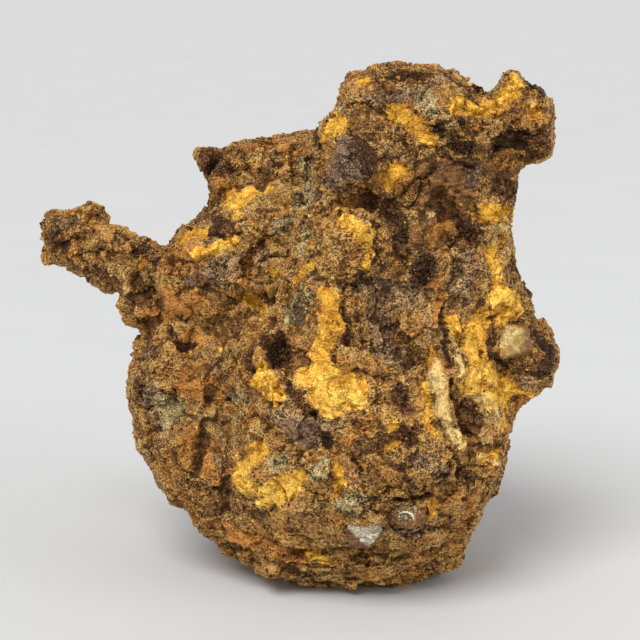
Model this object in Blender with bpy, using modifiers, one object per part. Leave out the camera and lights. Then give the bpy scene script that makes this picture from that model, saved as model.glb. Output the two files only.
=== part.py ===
"""A weathered pallasite meteorite: a rusted mass with an arm, a knob, a horn and a boss.

The mass is a set of overlapping lumps less a few hollows, fused with a voxel remesh, broken into
grains with noise, thinned, and cut flat where it rests. Three olivine crystals that show in the
rust are solids of their own, each with flat faces, in a socket that keeps a hair's gap round it.
Metres, +Z up. The origin is under the middle of the stone, on the surface that it rests on.
X runs along the stone from the arm to the knob, and -Y is its front.
"""

import math

import bmesh
import bpy
from mathutils import Euler, Matrix, Vector, noise

MM = 0.001

# The stone's overall width, from the arm's end to the knob or the boss, in millimetres.
# All else keeps its proportion to it.
WIDTH = 95.0

# Fusing of the lumps; lengths here and below are in millimetres
LUMP_SUBDIVISIONS = 4
VOXEL = 1.2
SMOOTHINGS = 2
MASS_TRIANGLES = 8600
SEAT_HEIGHT = 1.6
SOCKET_GAP = 0.35

# Low relief all over the mass: its height and size, how its finer octaves fall off, how much
# finer each is, and how many there are
RELIEF_HEIGHT = 0.9
RELIEF_SIZE = 9.0
RELIEF_FALLOFF = 0.8
RELIEF_FINER = 2.1
RELIEF_OCTAVES = 3

# Broken grains, and the warp that bends their edges. The salts tell apart the chances
# of a grain's height and of its tilt along X, Y and Z.
GRAIN_HEIGHT = 2.2
GRAIN_SIZE = 9.0
GRAIN_WARP = 1.5
GRAIN_WARP_SIZE = 4.0
HEIGHT_SALT = 3.7
TILT_SALTS = (1.3, 5.9, 9.1)
NOISE_SEED = 7

# Beds on the underside: how far they jut, how thick they are, up to what height they reach,
# how they rise towards the back, how they sway, and what part of a bed lies below the skin
BED_HEIGHT = 1.1
BED_THICKNESS = 5.0
BED_TOP = 16.0
BED_SLOPE = 0.22
BED_SWAY = 2.0
BED_SWAY_SIZE = 11.0
BED_SUNK = 0.4

# Plain finishes: colour and roughness
MASS_FINISH = ((0.16, 0.075, 0.025), 0.7)
OLIVINE_FINISH = ((0.62, 0.55, 0.25), 0.25)

# Each lump: centre, half sizes and turn (degrees about X, Y and Z), in millimetres,
# and how blocky it is, from 2 for an ellipsoid to 5 for a rounded box.
BODY = {
    "belly": ((11.6, -4, 31.5), (25.6, 26, 24), (0, 0, 0), 2.6),
    "foot": ((7.6, 0, 14), (24.3, 21, 13.5), (0, 5, 0), 2.5),
    "waist": ((19, 0, 55), (20.5, 19, 20), (0, 0, 0), 2.8),
    "shoulder": ((20.5, 1, 70), (18.5, 17, 14), (0, 0, 0), 3),
    "head": ((18.3, -2, 85), (11.4, 12, 10.3), (0, 3, 0), 2.8),
    "head_right": ((27, -3, 84), (8.5, 10, 7.3), (0, 20, 0), 2.8),
    "head_left": ((11, -1, 80), (7.5, 10, 9), (0, -38, 0), 2.8),
    "back": ((6, 15, 42), (26, 18, 34), (0, 0, 0), 2.4),
    "left_lobe": ((-13.5, 7, 33.2), (18, 18, 18), (0, -22, 0), 2.6),
    "left_flank": ((-8.5, 4, 24.5), (17.6, 18, 19), (0, -42, 0), 3),
    "left_shoulder": ((-9.5, 8, 59.8), (18, 16, 9.5), (0, -28, 0), 2.8),
    "back_slope": ((-3, 19, 70.3), (14, 11, 9.5), (0, -12, 0), 2.6),
}
ARM = {
    "arm_root": ((-28.5, 8, 53.2), (5.4, 6, 8), (0, 10, 0), 2.4),
    "arm": ((-37.4, 9, 59.7), (9.5, 5, 5.8), (0, 26, 0), 2.8),
    "arm_upper_lobe": ((-39, 9, 65), (4, 4, 2.6), (0, 15, 0), 2.4),
    "arm_end_lobe": ((-45.6, 9, 65), (3, 4, 3), (0, 0, 0), 2.6),
    "arm_lower_lip": ((-45.9, 9, 59), (3, 3.4, 2.8), (0, 0, 0), 2.4),
}
HORN = {
    "horn_root": ((-12, 25, 72.5), (6, 5, 5), (0, 0, 0), 2.4),
    "horn": ((-17, 27, 73.8), (4, 3, 3), (0, 40, 0), 2.4),
    "horn_tip": ((-20, 28, 75.8), (1.9, 2.2, 2.4), (0, 0, 0), 2.4),
}
KNOB = {
    "knob_neck": ((34, -3, 83.5), (8, 7.5, 6.5), (0, -6, 0), 2.6),
    "knob": ((39.6, -4, 84.6), (4.6, 6.5, 6.6), (0, 5, 0), 3),
    "knob_horn": ((37.5, -4, 90), (2.4, 3, 4.2), (0, 12, 0), 2.4),
    "knob_crest": ((40.6, -4, 88.6), (3.2, 4, 2.6), (0, 30, 0), 2.6),
    "knob_lip": ((42, -4, 81.2), (3.6, 4.6, 2.8), (0, -10, 0), 2.6),
}
BOSS = {
    "boss_top": ((38, -1, 49.5), (4.6, 8, 7), (0, -28, 0), 2.4),
    "boss": ((39, -3, 42), (6.5, 8, 7), (0, 0, 0), 2.4),
    "boss_tip": ((43.4, -3, 44), (3.2, 4.5, 6), (0, 0, 0), 2.4),
    "boss_foot": ((34.6, -2, 34.5), (6.4, 8, 8), (0, 0, 0), 2.4),
}
FRONT = {
    "dark_lump": ((9.2, -16, 78.5), (3.8, 4.5, 4), (0, 30, 0), 2.8),
    "shelf": ((20, -12, 78), (9, 5, 5), (0, 6, 0), 3),
    "upper_plate": ((7.5, -14, 64.5), (6, 9, 6.5), (0, 0, 30), 4),
    "middle_plate": ((4, -16, 51), (5, 9, 7.5), (0, 8, 30), 4),
    "lower_plate": ((7.5, -20, 41), (9, 8, 5), (-20, -12, 0), 3.4),
    "tongue": ((-5, -18, 41), (4.5, 6, 6), (0, -15, 0), 3),
    "streak": ((24.5, -22, 38), (3, 6, 11), (0, 12, 0), 2.6),
    "ridge": ((29, -11, 60), (4, 6, 16), (0, 0, 0), 2.8),
}
BACK = {
    "back_block": ((-7, 30, 52), (9, 5, 9), (0, 0, -15), 3.6),
    "back_shoulder": ((21, 17, 70), (12, 7, 8), (0, 20, 0), 3),
    "back_belly": ((14, 26, 26), (15, 8, 12), (0, 10, 10), 3),
    "back_knuckle": ((28, 20, 47), (7, 7, 6), (0, 0, 30), 2.8),
    "back_rib": ((2, 32, 36), (3.5, 4, 11), (0, 25, 0), 2.8),
}
LUMPS = {**BODY, **ARM, **HORN, **KNOB, **BOSS, **FRONT, **BACK}

# What is hollowed out of the fused lumps, in the same terms
HOLLOWS = {
    "under_the_shelf": ((27, -19.5, 70), (8, 6, 7), (0, 0, 0), 2.4),
    "under_the_knob": ((39.6, -11, 80.8), (3.6, 4, 2.6), (0, 15, 0), 2.2),
    "under_the_lump": ((9, -20, 72.5), (3.4, 4, 2.4), (0, 0, 0), 2.2),
    "knob_notch": ((33.6, -5, 93), (2.6, 8, 3.2), (0, 30, 0), 2.2),
    "arm_end": ((-49, 7, 61.5), (2.8, 4, 1.6), (0, 0, 0), 2.2),
    "arm_side": ((-35.5, 2.5, 60.5), (4, 3, 2.6), (0, 20, 0), 2.2),
    "beside_the_streak": ((29.2, -27, 34), (1.8, 5, 9), (0, -10, 0), 2.4),
    "right_recess": ((41.5, -9, 63), (4.5, 9, 13), (0, 0, 0), 2.4),
    "beside_the_plates": ((16, -25, 52), (6, 7, 8), (0, 0, 0), 2.4),
    "crease": ((-1.2, -25, 47.5), (3.4, 5, 3), (0, 30, 0), 2.2),
    "left_step": ((-17, -17, 30), (5, 6, 12), (0, 28, 0), 2.6),
    "back_recess": ((12, 37, 57), (9, 6, 6), (0, 12, 0), 2.6),
    "back_pit": ((-15, 30, 36), (5, 6, 7), (0, 0, 0), 2.4),
    "back_cleft": ((20, 38, 40), (3, 7, 10), (0, -20, 0), 2.4),
    "side_pit": ((41, 11, 57), (6, 7, 8), (0, 0, 0), 2.4),
}

# Each crystal: centre and turn, as above, and its flat faces, each by the way
# that it looks and its distance from the centre
BLOCKY = (
    ((1, 0, 0.2), 2.6), ((-1, 0.1, 0), 2.8), ((0.1, -1, 0), 2.9), ((0, 1, 0), 3.0),
    ((0, -0.1, 1), 2.7), ((0.1, 0, -1), 2.8), ((1, -1, 1), 3.1), ((-1, -1, 0.6), 3.1),
    ((0.4, -1, -1), 3.1), ((-1, 0.3, -1), 3.2), ((1, 0.3, -1), 3.3), ((-0.8, 0.3, 1), 3.2),
)
CLEAVED = (
    ((0, -1, 0.1), 1.3), ((0, 1, 0), 2.6), ((0, -0.1, 1), 2.0), ((0.9, 0, -0.6), 2.2),
    ((-0.9, 0, -0.5), 2.3), ((1, 0.1, 0.4), 3.1), ((-1, 0.1, 0.5), 3.0), ((0.2, -1, -0.9), 1.9),
)
LENTIL = (
    ((0, -1, 0.3), 1.7), ((0, 1, 0), 2.4), ((1, -0.5, 0), 2.4), ((-1, -0.5, 0), 2.5),
    ((0, -0.5, 1), 2.1), ((0, -0.5, -1), 2.2), ((0.8, -1, 0.8), 2.2), ((-0.8, -1, 0.8), 2.3),
    ((0.8, -1, -0.8), 2.3), ((-0.8, -1, -0.8), 2.3),
)
CRYSTALS = {
    "olivine_crystal_right": ((37.6, -10.8, 47.3), (0, 12, 20), BLOCKY),
    "olivine_chip_front": ((11.2, -26.0, 16.8), (20, 8, -6), CLEAVED),
    "olivine_lens_front": ((19, -26.8, 20.4), (10, 0, 10), LENTIL),
}
CRYSTAL_REACH = 6.0


def clear_scene():
    for obj in list(bpy.data.objects):
        bpy.data.objects.remove(obj)


def collection(name):
    made = bpy.data.collections.new(name)
    bpy.context.scene.collection.children.link(made)
    return made


def finish(name, colour, roughness):
    material = bpy.data.materials.new(name)
    material.use_nodes = True
    shader = material.node_tree.nodes["Principled BSDF"]
    shader.inputs["Base Color"].default_value = (*colour, 1.0)
    shader.inputs["Roughness"].default_value = roughness
    material.diffuse_color = (*colour, 1.0)
    return material


def place(centre, turn):
    """The matrix that puts a form in millimetres where it belongs."""
    turned = Euler([math.radians(a) for a in turn]).to_matrix().to_4x4()
    return Matrix.Translation(centre) @ turned


def lump_mesh(bm, centre, half, turn, block):
    """Adds one lump, a ball drawn out to a rounded block, to the mesh."""
    made = bmesh.ops.create_icosphere(bm, subdivisions=LUMP_SUBDIVISIONS, radius=1.0)
    stretch = place(centre, turn) @ Matrix.Diagonal((*half, 1))
    for vert in made["verts"]:
        reach = sum(abs(c) ** block for c in vert.co) ** (1 / block)
        vert.co = stretch @ (vert.co / reach)


def add_remesh(obj, name):
    remesh = obj.modifiers.new(name, "REMESH")
    remesh.mode = "VOXEL"
    remesh.voxel_size = VOXEL


def fused(name, lumps):
    """An object of the lumps, with the remesh that joins them."""
    bm = bmesh.new()
    for lump in lumps.values():
        lump_mesh(bm, *lump)
    mesh = bpy.data.meshes.new(name)
    bm.to_mesh(mesh)
    bm.free()
    obj = bpy.data.objects.new(name, mesh)
    bpy.context.scene.collection.objects.link(obj)
    add_remesh(obj, "fuse")
    return obj


def applied(obj):
    """The object's mesh with its modifiers applied; the object goes."""
    graph = bpy.context.evaluated_depsgraph_get()
    mesh = bpy.data.meshes.new_from_object(obj.evaluated_get(graph))
    bpy.data.objects.remove(obj)
    return mesh


def carved_skin():
    """The fused lumps less the hollows, as one mesh with even faces, in millimetres."""
    mass = fused("lumps", LUMPS)
    cutter = fused("hollows", HOLLOWS)
    cut = mass.modifiers.new("hollow out", "BOOLEAN")
    cut.operation = "DIFFERENCE"
    cut.object = cutter
    add_remesh(mass, "even out")
    settle = mass.modifiers.new("settle", "SMOOTH")
    settle.iterations = SMOOTHINGS
    skin = applied(mass)
    bpy.data.objects.remove(cutter)
    return skin


def chance(point, salt):
    """A steady number from -1 to 1 for a place: the noise far from there, where it has no pattern."""
    return noise.noise(point * 7.31 + Vector((salt, 2.7 * salt, -salt)))


def grain_lift(point, size):
    """How far a broken grain stands out at a point: each grain has its own height and tilt."""
    centre = noise.voronoi(point / size)[1][0]
    slope = Vector([chance(centre, salt) for salt in TILT_SALTS])
    return 0.5 * chance(centre, HEIGHT_SALT) + slope.dot(point / size - centre)


def bed_lift(point):
    """How far the beds of the underside stand out: each juts at its top, and steps back below."""
    height = point.z - BED_SLOPE * point.y + BED_SWAY * noise.noise(point / BED_SWAY_SIZE)
    fade = min(1.0, max(0.0, (BED_TOP - point.z) / BED_THICKNESS))
    return BED_HEIGHT * fade * ((height / BED_THICKNESS) % 1.0 - BED_SUNK)


def roughen(skin):
    """Lifts the skin into low relief, broken grains and beds, along its own normals."""
    noise.seed_set(NOISE_SEED)
    moves = []
    for vert in skin.vertices:
        waves = noise.fractal(vert.co / RELIEF_SIZE, RELIEF_FALLOFF, RELIEF_FINER, RELIEF_OCTAVES)
        lift = RELIEF_HEIGHT * waves
        warp = GRAIN_WARP * noise.noise_vector(vert.co / GRAIN_WARP_SIZE)
        lift += GRAIN_HEIGHT * grain_lift(vert.co + warp, GRAIN_SIZE)
        lift += bed_lift(vert.co)
        moves.append(vert.normal * lift)
    for vert, move in zip(skin.vertices, moves):
        vert.co += move


def thinned(skin, triangles):
    obj = bpy.data.objects.new("thinned", skin)
    bpy.context.scene.collection.objects.link(obj)
    thin = obj.modifiers.new("thin", "DECIMATE")
    thin.ratio = triangles / (2 * len(skin.polygons))
    thin.use_collapse_triangulate = True
    return applied(obj)


def cut_at(bm, point, normal):
    """Cuts off what lies beyond a plane, and closes the cut."""
    geometry = bm.verts[:] + bm.edges[:] + bm.faces[:]
    cut = bmesh.ops.bisect_plane(bm, geom=geometry, plane_co=point, plane_no=normal, clear_outer=True)
    rim = [item for item in cut["geom_cut"] if isinstance(item, bmesh.types.BMEdge)]
    bmesh.ops.holes_fill(bm, edges=rim, sides=0)


def stone_frame(skin):
    """From the lumps' millimetres to metres, with the origin under the middle of the stone."""
    lows = [min(vert.co[axis] for vert in skin.vertices) for axis in range(3)]
    highs = [max(vert.co[axis] for vert in skin.vertices) for axis in range(3)]
    middle = Vector(((lows[0] + highs[0]) / 2, (lows[1] + highs[1]) / 2, SEAT_HEIGHT))
    size = WIDTH / (highs[0] - lows[0])
    return Matrix.Scale(size * MM, 4) @ Matrix.Translation(-middle)


def crystal_object(name, centre, turn, faces, grow, into):
    """A block cut down to the crystal's flat faces, in the lumps' millimetres."""
    bm = bmesh.new()
    bmesh.ops.create_cube(bm, size=2 * CRYSTAL_REACH)
    for facing, distance in faces:
        normal = Vector(facing).normalized()
        cut_at(bm, normal * (distance + grow), normal)
    bmesh.ops.triangulate(bm, faces=bm.faces)
    bmesh.ops.transform(bm, matrix=place(centre, turn), verts=bm.verts)
    mesh = bpy.data.meshes.new(name)
    bm.to_mesh(mesh)
    bm.free()
    obj = bpy.data.objects.new(name, mesh)
    into.objects.link(obj)
    return obj


def cut_sockets(skin, sockets):
    """The skin less the sockets, each a little larger than its crystal."""
    mass = bpy.data.objects.new("socketed", skin)
    bpy.context.scene.collection.objects.link(mass)
    for socket in sockets:
        cut = mass.modifiers.new(socket.name, "BOOLEAN")
        cut.operation = "DIFFERENCE"
        cut.object = socket
    return applied(mass)


def piece_of(start):
    """All the faces joined to one face."""
    found = {start}
    reached = [start]
    while reached:
        face = reached.pop()
        near = {other for edge in face.edges for other in edge.link_faces} - found
        found |= near
        reached.extend(near)
    return found


def drop_crumbs(bm):
    """Keeps the largest piece of the mesh: not what was cut loose, nor a dimple that a cut closed."""
    left = set(bm.faces)
    pieces = []
    while left:
        piece = piece_of(next(iter(left)))
        left -= piece
        pieces.append(piece)
    pieces.sort(key=len)
    for crumb in pieces[:-1]:
        bmesh.ops.delete(bm, geom=list(crumb), context="FACES")


def build_mass(sockets, into):
    """The rusted mass; returns the matrix that carries the lumps' millimetres into its frame."""
    skin = carved_skin()
    roughen(skin)
    skin = cut_sockets(thinned(skin, MASS_TRIANGLES), sockets)
    bm = bmesh.new()
    bm.from_mesh(skin)
    cut_at(bm, (0, 0, SEAT_HEIGHT), (0, 0, -1))
    drop_crumbs(bm)
    bmesh.ops.triangulate(bm, faces=bm.faces)
    bm.to_mesh(skin)
    bm.free()
    frame = stone_frame(skin)
    skin.transform(frame)
    skin.materials.clear()
    skin.materials.append(finish("rusted iron and olivine", *MASS_FINISH))
    into.objects.link(bpy.data.objects.new("meteorite", skin))
    return frame


def main():
    clear_scene()
    parts = collection("pallasite meteorite")
    cutters = collection("cutters")
    crystals = []
    sockets = []
    for name, form in CRYSTALS.items():
        crystals.append(crystal_object(name, *form, 0, parts))
        sockets.append(crystal_object(name + "_socket", *form, SOCKET_GAP, cutters))
    frame = build_mass(sockets, parts)
    olivine = finish("olivine", *OLIVINE_FINISH)
    for crystal in crystals:
        crystal.data.transform(frame)
        crystal.data.materials.append(olivine)
    for socket in sockets:
        socket.data.transform(frame)
        socket.hide_render = True
        socket.display_type = "WIRE"
    return frame


main()
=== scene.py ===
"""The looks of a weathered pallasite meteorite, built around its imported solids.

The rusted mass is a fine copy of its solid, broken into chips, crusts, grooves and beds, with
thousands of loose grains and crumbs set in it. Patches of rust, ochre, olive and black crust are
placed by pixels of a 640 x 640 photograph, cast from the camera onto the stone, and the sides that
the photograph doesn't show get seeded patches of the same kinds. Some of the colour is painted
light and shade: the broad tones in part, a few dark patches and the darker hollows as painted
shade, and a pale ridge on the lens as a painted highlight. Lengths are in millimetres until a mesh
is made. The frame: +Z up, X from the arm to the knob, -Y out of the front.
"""

import math

import bmesh
import bpy
import numpy as np
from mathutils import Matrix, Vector, noise
from mathutils.bvhtree import BVHTree


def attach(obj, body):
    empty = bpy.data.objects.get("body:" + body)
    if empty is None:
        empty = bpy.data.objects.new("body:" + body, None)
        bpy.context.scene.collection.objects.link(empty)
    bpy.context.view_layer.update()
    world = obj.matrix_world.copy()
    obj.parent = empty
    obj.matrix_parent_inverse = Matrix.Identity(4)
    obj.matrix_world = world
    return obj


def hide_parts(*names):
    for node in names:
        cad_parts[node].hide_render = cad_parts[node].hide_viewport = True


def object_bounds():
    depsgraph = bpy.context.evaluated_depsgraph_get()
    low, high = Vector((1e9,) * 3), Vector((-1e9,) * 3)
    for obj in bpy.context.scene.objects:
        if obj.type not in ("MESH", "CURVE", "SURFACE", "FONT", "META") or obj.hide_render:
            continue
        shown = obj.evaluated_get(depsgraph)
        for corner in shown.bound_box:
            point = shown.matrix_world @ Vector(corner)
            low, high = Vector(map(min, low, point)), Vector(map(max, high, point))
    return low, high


bl_info = {
    "name": "Pallasite meteorite looks",
    "version": (1, 0, 0),
    "blender": (4, 5, 0),
    "location": "View3D > Sidebar > Meteorite",
    "description": "Builds the rusted mass, its grains and its olivine around the packed solids",
    "category": "Object",
}

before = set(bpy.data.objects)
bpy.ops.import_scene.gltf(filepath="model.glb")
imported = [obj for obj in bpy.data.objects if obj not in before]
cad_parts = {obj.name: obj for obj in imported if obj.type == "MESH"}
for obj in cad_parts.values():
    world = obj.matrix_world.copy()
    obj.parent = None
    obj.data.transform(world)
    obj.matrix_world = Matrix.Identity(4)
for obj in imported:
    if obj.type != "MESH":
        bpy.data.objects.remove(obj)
CAD_BOX = [list(corner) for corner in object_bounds()]

MM = 0.001
STONE = "meteorite"
BODY = "root"
SEED = 11

# The photograph's view: its side in pixels, the camera's height angle, how far it stands from
# the point that it aims at, and how wide the picture is there
PHOTO_SIDE = 640
VIEW_ELEVATION = 12.0
VIEW_DISTANCE = 320.4
VIEW_WIDTH = 117.15
VIEW_AIM = (4.43, -3.31, 46.96)
SENSOR = 36.0
PIXEL = VIEW_WIDTH / PHOTO_SIDE

# Discs are drawn a little larger than they look, because ragged edges eat into them.
DISC_GROWTH = 1.2

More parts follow.
